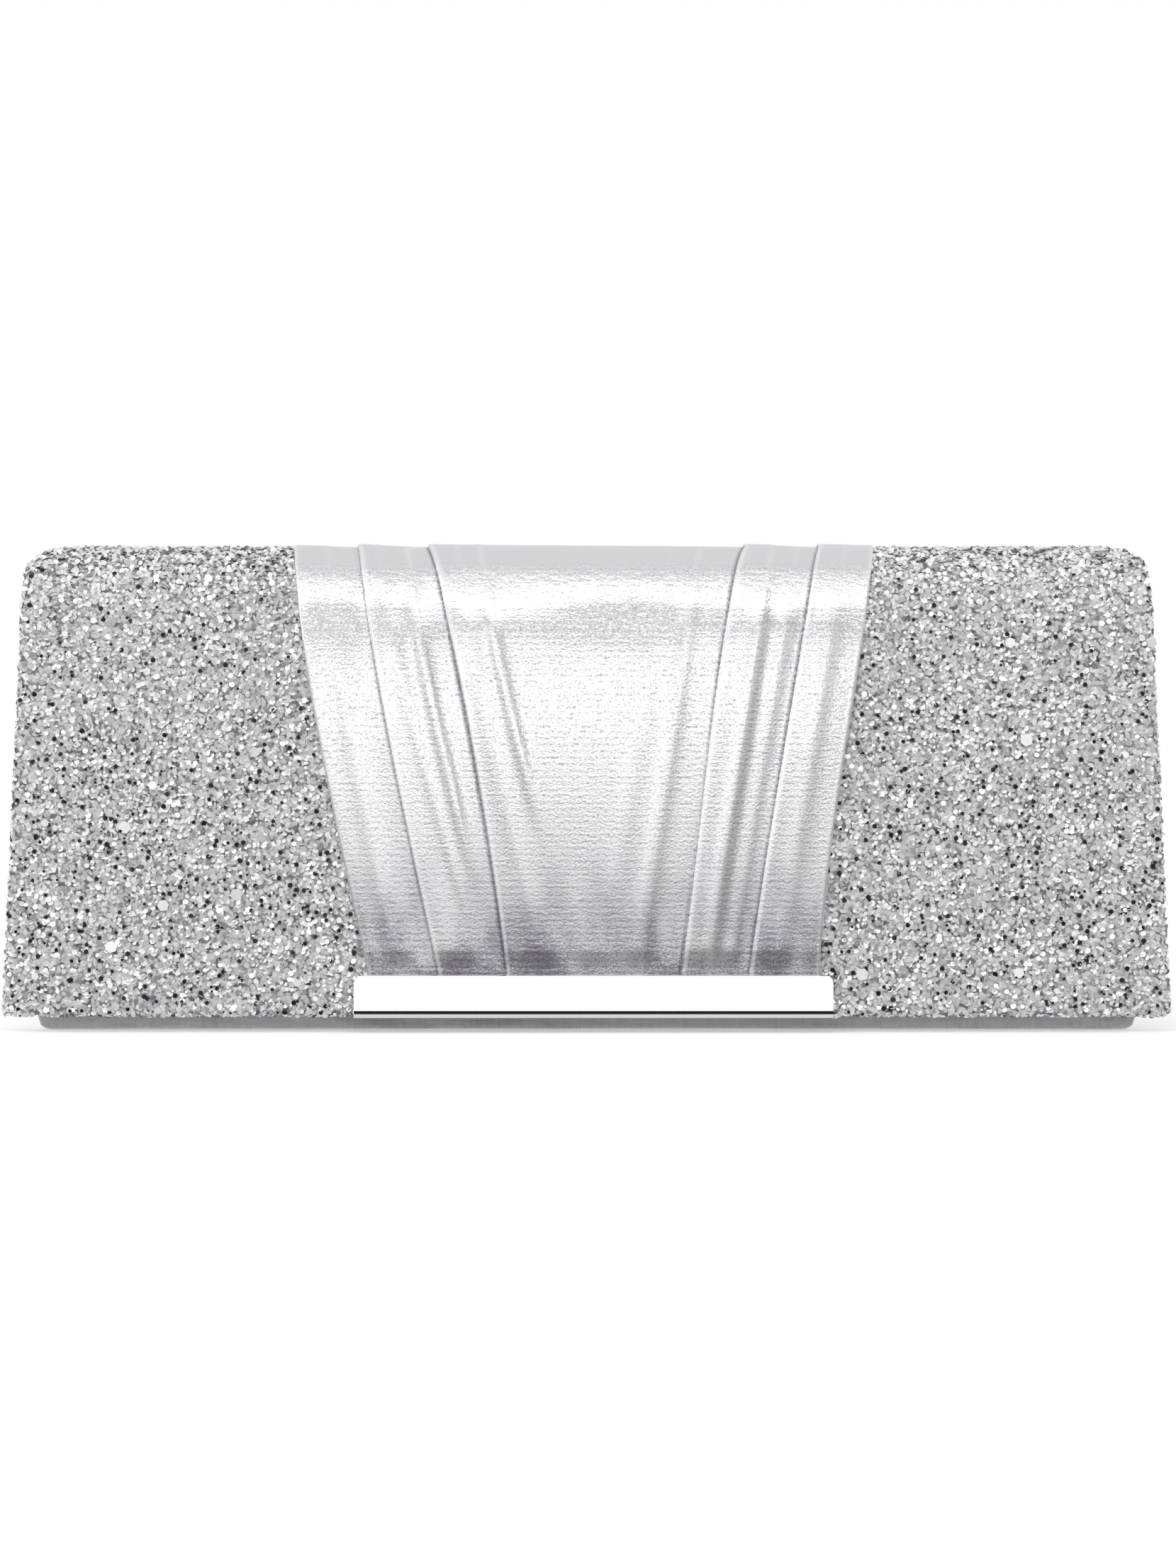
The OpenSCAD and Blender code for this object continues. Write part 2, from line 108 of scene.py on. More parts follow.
class Path:
    """A line in Y and Z that cloth follows; its points and normals are found by length along it."""

    def __init__(self, pieces):
        points = np.vstack(pieces)
        step = np.hypot(*np.diff(points, axis=0).T)
        keep = np.r_[True, step > 1e-7]
        self.points = points[keep]
        self.lengths = np.r_[0, np.cumsum(np.hypot(*np.diff(self.points, axis=0).T))]
        run = np.gradient(self.points, axis=0)
        run /= np.hypot(*run.T)[:, None]
        self.normals = np.c_[-run[:, 1], run[:, 0]]
        self.total = self.lengths[-1]

    def at(self, s, v):
        """Points at length s and depth v under the surface."""
        spots = []
        for k in (0, 1):
            on = np.interp(s, self.lengths, self.points[:, k])
            normal = np.interp(s, self.lengths, self.normals[:, k])
            spots.append(on - v * normal)
        return spots

    def place(self, x, s, v):
        y, z = self.at(s, v)
        return np.stack([x + 0 * y, y, z], -1)


def straight(start, end, step=0.25 * MM):
    count = max(2, int(math.dist(start, end) / step))
    return np.linspace(start, end, count)


def arc(centre, radius, first, last, count=60):
    angles = np.radians(np.linspace(first, last, count))
    return np.array(centre) + radius * np.c_[np.cos(angles), np.sin(angles)]


def smooth(t):
    t = np.clip(t, 0, 1)
    return t * t * (3 - 2 * t)


def ramp(value, low, high):
    """0 below low, 1 above high, smooth between."""
    return smooth((value - low) / (high - low))


def grid_faces(rows, columns, wrap=True):
    """Four-sided faces over a grid of points; a wrapped grid's last column joins its first."""
    faces = []
    for r in range(rows - 1):
        for c in range(columns if wrap else columns - 1):
            n = (c + 1) % columns
            faces.append((r * columns + c, r * columns + n, (r + 1) * columns + n, (r + 1) * columns + c))
    return faces


def add_values(mesh, label, values):
    """Stores one number per point of a mesh."""
    layer = mesh.attributes.new(label, "FLOAT", "POINT")
    layer.data.foreach_set("value", values.ravel().astype(np.float32))


def new_mesh(name, points, faces, uv=None, closed=True):
    """A smooth mesh piece with faces outwards, and a UV map called cloth, in tenths of a metre."""
    mesh = bpy.data.meshes.new(name)
    mesh.from_pydata(np.asarray(points).tolist(), [], [tuple(map(int, f)) for f in faces])
    if uv is not None:
        layer = mesh.uv_layers.new(name="cloth")
        corners = np.zeros(len(mesh.loops), int)
        mesh.loops.foreach_get("vertex_index", corners)
        layer.data.foreach_set("uv", (np.asarray(uv)[corners] * CLOTH_UNITS).ravel())
    if closed:
        bm = bmesh.new()
        bm.from_mesh(mesh)
        bmesh.ops.recalc_face_normals(bm, faces=bm.faces)
        bm.to_mesh(mesh)
        bm.free()
    mesh.shade_smooth()
    piece = bpy.data.objects.new(name, mesh)
    bpy.context.scene.collection.objects.link(piece)
    return piece


def apply_modifiers(piece):
    """Turns the piece's modifiers into plain mesh."""
    graph = bpy.context.evaluated_depsgraph_get()
    mesh = bpy.data.meshes.new_from_object(piece.evaluated_get(graph))
    piece.modifiers.clear()
    piece.data = mesh
    return piece


def slab(name, place, half, s0, s1, v0, v1, edge, column=3 * MM, row=3 * MM, relief=None):
    """A board or thick cloth with rounded edges.

    place(x, s, v) puts a point, half(s) is the half-width, and relief(x, s) lifts the outer face.
    """
    depth = v1 - v0
    edge = min(edge, 0.49 * depth)
    turns = np.linspace(0, math.pi / 2, 4)
    ends = [(edge * (1 - math.cos(t)), edge * (1 - math.sin(t))) for t in turns]
    count = max(2, int((s1 - s0 - 2 * edge) / row))
    inner_rows = np.linspace(s0 + edge, s1 - edge, count + 1)[1:-1]
    rows = [(s0 + run, inset) for run, inset in ends]
    rows += [(s, 0) for s in inner_rows]
    rows += [(s1 - run, inset) for run, inset in reversed(ends)]
    widest = max(float(half(s)) for s, _ in rows)
    columns = max(2, int(2 * widest / column))
    across = np.linspace(-1, 1, columns + 1)
    rim = [(1 - math.cos(t), 1 - math.sin(t)) for t in turns[2::-1]]
    points, uv = [], []
    for s, inset in rows:
        wide = float(half(s)) - inset
        flat = across * (wide - edge)
        share = 1 - 2 * inset / depth
        top, low = v0 + inset, v1 - inset
        lift = np.zeros(columns + 1)
        if relief is not None:
            lift = relief(flat, s) * (1 - inset / edge)
        rim_x = np.array([wide - edge * a for a, _ in rim])
        rim_v = np.array([edge * b * share for _, b in rim])
        xs = np.concatenate([flat, rim_x, rim_x[::-1], flat[::-1], -rim_x, -rim_x[::-1]])
        vs = np.concatenate([top - lift, top + rim_v, (low - rim_v)[::-1],
                             np.full(columns + 1, low), low - rim_v, (top + rim_v)[::-1]])
        points.append(place(xs, np.full(len(xs), s), vs))
        uv.append(np.c_[xs, np.full(len(xs), s)])
    ring = len(xs)
    half_ring = columns + 1 + len(rim)
    faces = grid_faces(len(rows), ring)
    order = [(c - len(rim)) % ring for c in range(half_ring + len(rim))]
    for base in (0, (len(rows) - 1) * ring):
        for a, b in zip(order, order[1:]):
            faces.append((base + a, base + b, base + (2 * half_ring - 1 - b) % ring,
                          base + (2 * half_ring - 1 - a) % ring))
    return new_mesh(name, np.vstack(points), faces, np.vstack(uv))


def thicken(piece, thickness, offset):
    wall = piece.modifiers.new("wall", "SOLIDIFY")
    wall.thickness = thickness
    wall.offset = offset
    return apply_modifiers(piece)


def sheet_mesh(name, points, uv, thickness=0.0):
    """A cloth sheet from a grid of points; a thickness, half to each side, closes it."""
    rows, columns = points.shape[:2]
    faces = grid_faces(rows, columns, wrap=False)
    piece = new_mesh(name, points.reshape(-1, 3), faces, uv.reshape(-1, 2), closed=False)
    if thickness:
        thicken(piece, thickness, 0.0)
    return piece


def bevelled(name, node, width, material):
    """A softened copy of a CAD node."""
    mesh = frame["nodes"][node].data.copy()
    mesh.name = name
    bm = bmesh.new()
    bm.from_mesh(mesh)
    bmesh.ops.remove_doubles(bm, verts=bm.verts, dist=0.002 * MM)
    bmesh.ops.dissolve_limit(bm, angle_limit=math.radians(1), verts=bm.verts, edges=bm.edges)
    bm.to_mesh(mesh)
    bm.free()
    mesh.shade_smooth()
    piece = bpy.data.objects.new(name, mesh)
    bpy.context.scene.collection.objects.link(piece)
    soften = piece.modifiers.new("soften", "BEVEL")
    soften.width = width
    soften.segments = 3
    soften.limit_method = "ANGLE"
    soften.angle_limit = math.radians(35)
    flat = piece.modifiers.new("flat", "WEIGHTED_NORMAL")
    flat.weight = 100
    apply_modifiers(piece)
    piece.data.materials.clear()
    piece.data.materials.append(material)
    return piece


# ---------------------------------------------------------------- node trees

class Wire:
    """A node's output. Arithmetic on it adds Math nodes."""

    def __init__(self, tree, socket):
        self.tree = tree
        self.socket = socket

    def maths(self, operation, *values):
        inputs = dict(enumerate(values))
        return self.tree.node("ShaderNodeMath", {"operation": operation}, inputs)

    def __add__(self, other):
        return self.maths("ADD", self, other)

    def __radd__(self, other):
        return self.maths("ADD", other, self)

    def __sub__(self, other):
        return self.maths("SUBTRACT", self, other)

    def __rsub__(self, other):
        return self.maths("SUBTRACT", other, self)

    def __mul__(self, other):
        return self.maths("MULTIPLY", self, other)

    def __truediv__(self, other):
        return self.maths("DIVIDE", self, other)

    def sine(self):
        return self.maths("SINE", self)

    def power(self, exponent):
        return self.maths("POWER", self, exponent)

    def clamped(self, low=0.0, high=1.0):
        return self.maths("MINIMUM", self.maths("MAXIMUM", self, low), high)

    def output(self, name):
        return Wire(self.tree, self.socket.node.outputs[name])


class Tree:
    """A node tree, with one method that makes any node."""

    def __init__(self, tree):
        self.tree = tree
        self.tree.nodes.clear()

    def node(self, kind, settings=None, sockets=None, out=0):
        made = self.tree.nodes.new(kind)
        for key, value in (settings or {}).items():
            if key == "stops":
                self.set_stops(made.color_ramp, value)
            else:
                setattr(made, key, value)
        for key, value in (sockets or {}).items():
            self.feed(made.inputs[key], value)
        return Wire(self, made.outputs[out]) if len(made.outputs) else made

    def feed(self, socket, value):
        if isinstance(value, Wire):
            self.tree.links.new(value.socket, socket)
        else:
            socket.default_value = value

    def set_stops(self, colour_ramp, stops):
        elements = colour_ramp.elements
        while len(elements) < len(stops):
            elements.new(0.5)
        for element, (place, tone) in zip(elements, stops):
            element.position = place
            element.color = (*tone, 1) if hasattr(tone, "__len__") else (tone, tone, tone, 1)

    def ramp(self, value, stops):
        return self.node("ShaderNodeValToRGB", {"stops": stops}, {"Fac": value})

    def noise(self, where, scale, detail=2.0, rough=0.5):
        return self.node("ShaderNodeTexNoise", None,
                         {"Vector": where, "Scale": scale, "Detail": detail, "Roughness": rough})

    def streaks(self, where, scales, detail=2.0, rough=0.5):
        """Noise with its own scale along each axis."""
        mapped = self.node("ShaderNodeMapping", None, {"Vector": where, "Scale": scales})
        return self.noise(mapped, 1.0, detail, rough)

    def attribute(self, name):
        return self.node("ShaderNodeAttribute", {"attribute_name": name}, out="Fac")

    def axes(self, vector):
        return self.node("ShaderNodeSeparateXYZ", None, {"Vector": vector})

    def mixed(self, factor, first, second, blend="MIX"):
        return self.node("ShaderNodeMix", {"data_type": "RGBA", "blend_type": blend},
                         {"Factor": factor, 6: first, 7: second}, out=2)


def surface(name, fixed):
    """A material with a Principled shader, its tree, and a function that feeds the shader's sockets."""
    material = bpy.data.materials.new(name)
    material.use_nodes = True
    tree = Tree(material.node_tree)
    shader = material.node_tree.nodes.new("ShaderNodeBsdfPrincipled")
    output = material.node_tree.nodes.new("ShaderNodeOutputMaterial")
    material.node_tree.links.new(shader.outputs[0], output.inputs["Surface"])
    for key, value in fixed.items():
        shader.inputs[key].default_value = value
    return material, tree, lambda socket, value: tree.feed(shader.inputs[socket], value)


def object_place(tree):
    return tree.node("ShaderNodeTexCoord").output("Object")


def cloth_place(tree):
    return tree.node("ShaderNodeUVMap", {"uv_map": "cloth"})


def bump(tree, height, distance, strength=1.0):
    return tree.node("ShaderNodeBump", None,
                     {"Height": height, "Distance": distance, "Strength": strength})


def glitter_base_material():
    """The resin and fine flake between the large flakes of the glitter cloth."""
    material, tree, put = surface("glitter_cloth", {"Metallic": 0.55, "Specular IOR Level": 0.6})
    where = object_place(tree)
    cell = tree.node("ShaderNodeTexVoronoi", None, {"Vector": where, "Scale": 1050.0})
    shade = tree.node("ShaderNodeSeparateColor", None, {"Color": cell.output("Color")})
    fine = tree.noise(where, 2600.0, 3.0, 0.7)
    tone = shade * 0.75 + fine * 0.35
    stops = [(0.0, (0.05, 0.05, 0.055)), (0.3, (0.26, 0.26, 0.27)), (0.65, (0.66, 0.66, 0.68)),
             (0.9, (0.95, 0.95, 0.96))]
    put("Base Color", tree.ramp(tone, stops))
    put("Roughness", 0.28 + shade.output("Green") * 0.4)
    height = shade.output("Blue") + fine * 0.5 - cell * 0.4
    put("Normal", bump(tree, height, 0.45 * MM, 0.9))
    return material


def flake_material():
    """Loose flakes of glitter: each has its own tone."""
    material, tree, put = surface("glitter_flakes", {"Metallic": 0.55, "Specular IOR Level": 0.7})
    tone = tree.attribute("tone")
    where = object_place(tree)
    grain = tree.noise(where, 3200.0, 1.0)
    stops = [(0.0, (0.008, 0.008, 0.01)), (0.12, (0.03, 0.03, 0.035)), (0.2, (0.38, 0.38, 0.39)),
             (0.36, (0.9, 0.9, 0.92)), (0.5, (1.0, 1.0, 1.0))]
    put("Base Color", tree.ramp(tone + (grain - 0.5) * 0.16, stops))
    put("Roughness", 0.22 + grain * 0.25)
    return material


def pleated_material():
    """Silver metallic cloth: short broken ribs, a crepe grain, painted shade in the creases and near the bar,
    and painted highlights on the fold edges.
    """
    material, tree, put = surface(
        "pleated_lame", {"Specular IOR Level": 0.6, "Sheen Weight": 0.08, "Sheen Roughness": 0.4})
    where = cloth_place(tree)
    along = tree.axes(where).output("Y")
    wander = tree.streaks(where, (48.0, 40.0, 1.0), 2.0)
    rib = (along * (2 * math.pi / (RIB_PITCH * CLOTH_UNITS)) + wander * 7.0).sine()
    dashes = tree.streaks(where, (52.0, 90.0, 1.0), 2.0, 0.6)
    grain = tree.streaks(where, (180.0, 210.0, 1.0), 1.0, 0.6)
    blotch = tree.streaks(where, (7.0, 10.0, 1.0), 3.0, 0.6)
    smooth_top = 1.0 - ((along - 0.965) * 40.0).clamped()
    at_bend = ((along - 0.88) * 25.0).clamped() * smooth_top
    dapple = tree.streaks(where, (42.0, 75.0, 1.0), 3.0, 0.6)
    ribs = rib * ((dashes - 0.4) * 5.0).clamped()
    height = (ribs * 0.10 + (grain - 0.5) * (0.62 + at_bend * 0.9)) * (smooth_top * 0.94 + 0.06)
    height = height + (dapple - 0.5) * at_bend * 4.5
    # Painted shade darkens the creases and a painted highlight lightens the fold edges, from marks stored on
    # the band
    crease = tree.attribute("crease")
    edge = tree.attribute("edge")
    # Painted shade: darker patches at the band's foot, where the cloth tucks under the bar
    foot = (1.0 - ((along - 0.12) * 4.2).clamped()).power(0.8)
    pucker = tree.streaks(where, (8.5, 4.0, 1.0), 2.0, 0.5)
    painted_bar_shade = foot * ((pucker - 0.42) * 7.0 + (grain - 0.5) * 8.0).clamped()
    tone = (0.76 + ribs * 0.15 * smooth_top + (grain - 0.5) * 1.1 * smooth_top + (blotch - 0.5) * 0.15
            - painted_bar_shade * 0.52 - crease * 0.6 + edge * 0.3)
    stops = [(0.0, (0.20, 0.19, 0.22)), (0.3, (0.45, 0.43, 0.48)), (0.6, (0.78, 0.78, 0.80)),
             (0.85, (0.92, 0.92, 0.93)), (1.0, (0.99, 0.99, 1.0))]
    put("Base Color", tree.ramp(tone, stops))
    put("Metallic", (0.92 - edge * 0.3 - crease * 0.4).clamped(0.3, 0.95))
    put("Roughness", (0.2 + (dashes - 0.5) * 0.12 + crease * 0.35).clamped(0.12, 0.7))
    put("Normal", bump(tree, height, 0.07 * MM, 1.0))
    return material


def satin_material(name, tone, crease=1.0):
    """Silver satin: long slubs in the weft, a slanting twill, soft puckers and a broad lustre."""
    material, tree, put = surface(
        name, {"Specular IOR Level": 0.6, "Sheen Weight": 0.3, "Sheen Roughness": 0.3, "Anisotropic": 0.45})
    where = object_place(tree)
    axes = tree.axes(where)
    soft = tree.noise(where, 34.0, 2.0, 0.5)
    pucker = tree.streaks(where, (70.0, 70.0, 110.0), 2.0, 0.5)
    slub = tree.streaks(where, (230.0, 230.0, 1500.0), 1.0, 0.5)
    warp = tree.streaks(where, (1500.0, 1500.0, 230.0), 1.0, 0.5)
    slant = axes.output("X") + axes.output("Y") + axes.output("Z") * 1.15
    twill = (slant * (2 * math.pi / TWILL_PITCH) + slub * 2.5).sine()
    light = tuple(min(1.0, c * 1.18) for c in tone)
    dark = tuple(c * 0.76 for c in tone)
    mixed = 0.5 + (soft - 0.5) * 0.5 + (slub - 0.5) * 0.5 + (warp - 0.5) * 0.5 + twill * 0.12
    put("Base Color", tree.ramp(mixed, [(0.15, dark), (0.5, tone), (0.85, light)]))
    put("Metallic", (0.22 + (soft - 0.5) * 0.4).clamped(0.1, 0.5))
    put("Roughness", (0.34 + (soft - 0.5) * 0.2 + (slub - 0.5) * 0.12).clamped(0.2, 0.7))
    height = soft * crease * 30.0 + pucker * crease * 9.0 + slub * 0.35 + warp * 0.35 + twill * 0.12
    put("Normal", bump(tree, height, 0.14 * MM, 0.9))
    return material


def metal_material(name, tone, rough, scratch=0.5):
    """Polished or brushed metal with fine scratches and faint smudges."""
    material, tree, put = surface(name, {"Metallic": 1.0})
    where = object_place(tree)
    smudge = tree.noise(where, 90.0, 3.0, 0.6)
    hair = tree.streaks(where, (60.0, 2600.0, 2600.0), 2.0)
    dark = tuple(c * 0.93 for c in tone)
    put("Base Color", tree.ramp(smudge, [(0.3, dark), (0.7, tone)]))
    put("Roughness", (rough + (smudge - 0.5) * 0.06 + (hair - 0.5) * 0.08).clamped(0.03, 0.8))
    put("Normal", bump(tree, hair, 0.004 * MM * scratch, 0.5))
    return material


def thread_material():
    material, tree, put = surface("stitching_thread", {"Sheen Weight": 0.3})
    where = object_place(tree)
    twist = tree.noise(where, 5200.0, 1.0)
    put("Base Color", tree.ramp(twist, [(0.3, (0.66, 0.66, 0.69)), (0.7, (0.88, 0.88, 0.90))]))
    put("Roughness", 0.45 + twist * 0.3)
    put("Normal", bump(tree, twist, 0.05 * MM, 0.7))
    return material


GLITTER = glitter_base_material()
FLAKES = flake_material()
PLEATED = pleated_material()
SATIN = satin_material("body_satin", (0.57, 0.56, 0.595), 1.3)
LINING = satin_material("lining_satin", (0.62, 0.62, 0.64), 1.5)
POLISHED = metal_material("polished_metal", (0.95, 0.95, 0.96), 0.07)
STEEL = metal_material("plain_steel", (0.62, 0.62, 0.63), 0.3, 1.5)
# A near-black material for the clasp bar's groove: painted shadow
GROOVE_SHADOW = metal_material("blackened_groove", (0.03, 0.03, 0.035), 0.45)
MAGNET = metal_material("magnet", (0.12, 0.12, 0.125), 0.5, 1.0)
THREAD = thread_material()


def finish_piece(piece, material, body, slot, *nodes):
    """Gives a piece its material, its body and the CAD nodes that it stands for."""
    if material is not None:
        piece.data.materials.clear()
        piece.data.materials.append(material)
    if body:
        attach(piece, body)
    if nodes:
        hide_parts(*nodes)
    return piece


# ---------------------------------------------------------------- scattered and repeated detail

def geometry_tree(name, inputs):
    """A geometry node tree with named inputs; returns it, its Tree and the group's input node."""
    group = bpy.data.node_groups.new(name, "GeometryNodeTree")
    tree = Tree(group)
    group.interface.new_socket("Geometry", in_out="INPUT", socket_type="NodeSocketGeometry")
    for label, (kind, value) in inputs.items():
        socket = group.interface.new_socket(label, in_out="INPUT", socket_type=kind)
        socket.default_value = value
    group.interface.new_socket("Geometry", in_out="OUTPUT", socket_type="NodeSocketGeometry")
    entry = group.nodes.new("NodeGroupInput")
    return group, tree, {s.name: Wire(tree, s) for s in entry.outputs if s.name}


def finish_tree(group, tree, geometry, material):
    real = tree.node("GeometryNodeRealizeInstances", None, {"Geometry": geometry})
    done = tree.node("GeometryNodeSetMaterial", None, {"Geometry": real, "Material": material})
    leave = group.nodes.new("NodeGroupOutput")
    group.links.new(done.socket, leave.inputs[0])


def run_tree(group, name, source, values):
    """Runs a geometry tree on a source object and returns the result as a plain mesh piece."""
    holder = bpy.data.objects.new(name, source)
    bpy.context.scene.collection.objects.link(holder)
    modifier = holder.modifiers.new("nodes", "NODES")
    modifier.node_group = group
    sockets = {s.name: s.identifier for s in group.interface.items_tree if s.in_out == "INPUT"}
    for label, value in values.items():
        modifier[sockets[label]] = value
    return apply_modifiers(holder)


def flake_tree():
    """Six-sided flakes strewn over the faces that the attributes choose: common, dark and large."""
    number, whole = "NodeSocketFloat", "NodeSocketInt"
    group, tree, inputs = geometry_tree("glitter_flakes", {
        "Density": (number, 1.5e6), "Dark Density": (number, 8.0e4), "Large Density": (number, 2.5e3),
        "Radius": (number, 0.52 * MM), "Lift": (number, 0.35 * MM),
        "Seed": (whole, 7)})

    def pick(low, high, seed):
        return tree.node("FunctionNodeRandomValue", {"data_type": "FLOAT"},
                         {2: low, 3: high, "Seed": seed}, out=1)

    def strew(density, mask, radius, tilt, lift, low, high, seed, rise=0.0):
        cover = tree.node("GeometryNodeInputNamedAttribute", {"data_type": "FLOAT"}, {"Name": mask})
        spots = tree.node("GeometryNodeDistributePointsOnFaces", None,
                          {"Mesh": inputs["Geometry"], "Density": density * cover,
                           "Seed": inputs["Seed"] + seed})
        offset = tree.node("ShaderNodeVectorMath", {"operation": "SCALE"},
                           {0: spots.output("Normal"), "Scale": pick(rise, lift, seed + 11)})
        lifted = tree.node("GeometryNodeSetPosition", None, {"Geometry": spots, "Offset": offset})
        turn = tree.node("FunctionNodeRandomValue", {"data_type": "FLOAT_VECTOR"},
                         {0: (-tilt, -tilt, -3.14), 1: (tilt, tilt, 3.14), "Seed": seed + 12})
        turn = tree.node("FunctionNodeEulerToRotation", None, {0: turn})
        turn = tree.node("FunctionNodeRotateRotation", {"rotation_space": "LOCAL"},
                         {0: spots.output("Rotation"), 1: turn})
        flake = tree.node("GeometryNodeMeshCircle", {"fill_type": "NGON"}, {"Vertices": 6, "Radius": radius})
        placed = tree.node("GeometryNodeInstanceOnPoints", None,
                           {"Points": lifted, "Instance": flake, "Rotation": turn,
                            "Scale": pick(0.6, 1.3, seed + 13)})
        return tree.node("GeometryNodeStoreNamedAttribute", {"data_type": "FLOAT", "domain": "INSTANCE"},
                         {"Geometry": placed, "Name": "tone", "Value": pick(low, high, seed + 14)})

    common = strew(inputs["Density"], "glitter", inputs["Radius"], 0.68, inputs["Lift"], 0.22, 1.0, 1)
    dark = strew(inputs["Dark Density"], "specks", 0.46 * MM, 0.12, 0.6 * MM, 0.0, 0.05, 2, 0.42 * MM)
    large = strew(inputs["Large Density"], "glitter", 1.1 * MM, 0.15, 0.6 * MM, 0.95, 1.0, 3, 0.45 * MM)
    joined = tree.node("GeometryNodeJoinGeometry")
    for part in (common, dark, large):
        group.links.new(part.socket, joined.socket.node.inputs[0])
    finish_tree(group, tree, joined, FLAKES)
    return group


def stitch_tree():
    """A row of short rounded stitches along each edge path."""
    number = "NodeSocketFloat"
    group, tree, inputs = geometry_tree("stitch_row", {
        "Pitch": (number, STITCH_PITCH), "Length": (number, STITCH_LENGTH), "Thread": (number, THREAD_R)})
    curve = tree.node("GeometryNodeMeshToCurve", None, {"Mesh": inputs["Geometry"]})
    spots = tree.node("GeometryNodeCurveToPoints", {"mode": "LENGTH"},
                      {"Curve": curve, "Length": inputs["Pitch"]})
    stitch = tree.node("GeometryNodeMeshUVSphere", None,
                       {"Segments": 8, "Rings": 5, "Radius": inputs["Thread"]})
    longer = tree.node("ShaderNodeCombineXYZ", None,
                       {"X": 1.0, "Y": 1.0, "Z": inputs["Length"] / (inputs["Thread"] * 2.0)})
    stitch = tree.node("GeometryNodeTransform", None, {"Geometry": stitch, "Scale": longer})
    along = tree.node("FunctionNodeAlignRotationToVector", {"axis": "Z"},
                      {"Vector": spots.output("Tangent")})
    placed = tree.node("GeometryNodeInstanceOnPoints", None,
                       {"Points": spots, "Instance": stitch, "Rotation": along})
    finish_tree(group, tree, placed, THREAD)
    return group


FLAKE_TREE = flake_tree()
STITCH_TREE = stitch_tree()


def stitch_rows(name, rows, body, slot):
    """Stitches along several open rows of points, as one piece on one body."""
    points, edges = [], []
    for row in rows:
        first = len(points)
        points.extend(np.asarray(row).tolist())
        edges.extend((first + k, first + k + 1) for k in range(len(row) - 1))
    lines = bpy.data.meshes.new(name + "_rows")
    lines.from_pydata(points, edges, [])
    piece = run_tree(STITCH_TREE, name, lines, {"Pitch": STITCH_PITCH})
    piece.data.shade_smooth()
    return finish_piece(piece, None, body, slot)


# ---------------------------------------------------------------- the flap

bend = (bend_y, bend_z)
hinge = (hinge_y, hinge_z)
bend_start, bend_stop = 180 - math.degrees(LEAN), 90 - math.degrees(TOP_SLOPE)
face_foot = (face_y, edge_z)
face_head = tuple(arc(bend, BEND_R, bend_start, bend_start, 1)[0])
top_start = tuple(arc(bend, BEND_R, bend_stop, bend_stop, 1)[0])
top_end = tuple(arc(hinge, HINGE_R, bend_stop, bend_stop, 1)[0])
tail_top = (hinge_y + HINGE_R, hinge_z)
tail_foot = (hinge_y + HINGE_R, hinge_z - TAIL)

outer = Path([straight(face_foot, face_head), arc(bend, BEND_R, bend_start, bend_stop),
              straight(top_start, top_end), arc(hinge, HINGE_R, bend_stop, 0, 24),
              straight(tail_top, tail_foot)])
top_stop = face_len + BEND_R * math.radians(bend_start - bend_stop) + math.dist(top_start, top_end)
flap_stop = top_stop - HINGE_GAP
random = np.random.default_rng(12)


def flap_half(s):
    """Half the flap's width at length s: an even draw up the front, then an S over the bend."""
    y, z = outer.at(s, 0.0)
    level = flap_high.x - SIDE_DRAW * (z - edge_z) / (bend_z - edge_z)
    turn = np.clip((y - (bend_y + 3 * MM - CORNER_D)) / CORNER_D, 0, 1)
    wide = hinge_half + CORNER_DRAW * (1 + np.cos(math.pi * turn)) / 2
    return np.where((turn > 0) & (wide < level), wide, level)


# Each fold line runs from the bar over the top: its places across the bag at the four stations below
STATIONS = np.array([9.0, 48.0, 85.0, 106.0]) * MM
BAND_LINES = np.array([
    (-46.9, -55.4, -61.9, -63.9),
    (-31.9, -40.4, -47.2, -49.9),
    (-17.2, -22.9, -30.0, -34.6),
    (20.3, 25.2, 30.3, 34.5),
    (34.8, 41.0, 47.3, 50.7),
    (49.9, 54.3, 60.2, 62.7)]) * MM
# Soft folds inside the panels: places at the stations, height, width, and the lengths between which it shows
SOFT_FOLDS = [
    ((-20.0, -28.6, -36.6, -39.5), 0.55, 1.4, (26, 45)),
    ((-22.0, -33.0, -42.5, -45.5), 0.25, 1.3, (10, 30)),
    ((-3.0, -11.9, -20.4, -23.6), 0.5, 1.5, (34, 60)),
    ((-9.0, -17.5, -25.5, -29.0), 0.22, 2.4, (5, 30)),
    ((11.5, 17.0, 22.3, 24.5), 0.42, 2.2, (5, 12)),
    ((5.0, 10.0, 16.0, 18.0), 0.2, 2.6, (5, 12)),
    ((26.0, 32.0, 37.7, 40.5), 0.5, 1.6, (5, 15)),
    ((31.0, 37.0, 43.0, 46.0), 0.22, 1.4, (5, 15)),
    ((42.0, 47.5, 53.5, 56.5), 0.25, 2.2, (5, 15)),
    ((-40.0, -48.0, -54.5, -57.0), 0.25, 2.2, (5, 15))]


def station_curve(places, s):
    """A smooth curve through places at the four stations, straight beyond them."""
    fit = np.polyfit(STATIONS, np.asarray(places), 3)
    inside = np.clip(s, STATIONS[0], STATIONS[-1])
    return np.polyval(fit, inside)


def glitter_relief(x, s):
    """Uneven resin under the flakes, flattened where the band lies on it."""
    left = station_curve(BAND_LINES[0], s) + 1 * MM
    right = station_curve(BAND_LINES[-1], s) - 1 * MM
    free = np.where((x > left) & (x < right), 0.0, 1.0)
    return random.normal(0, 0.13 * MM, np.shape(x)) * free


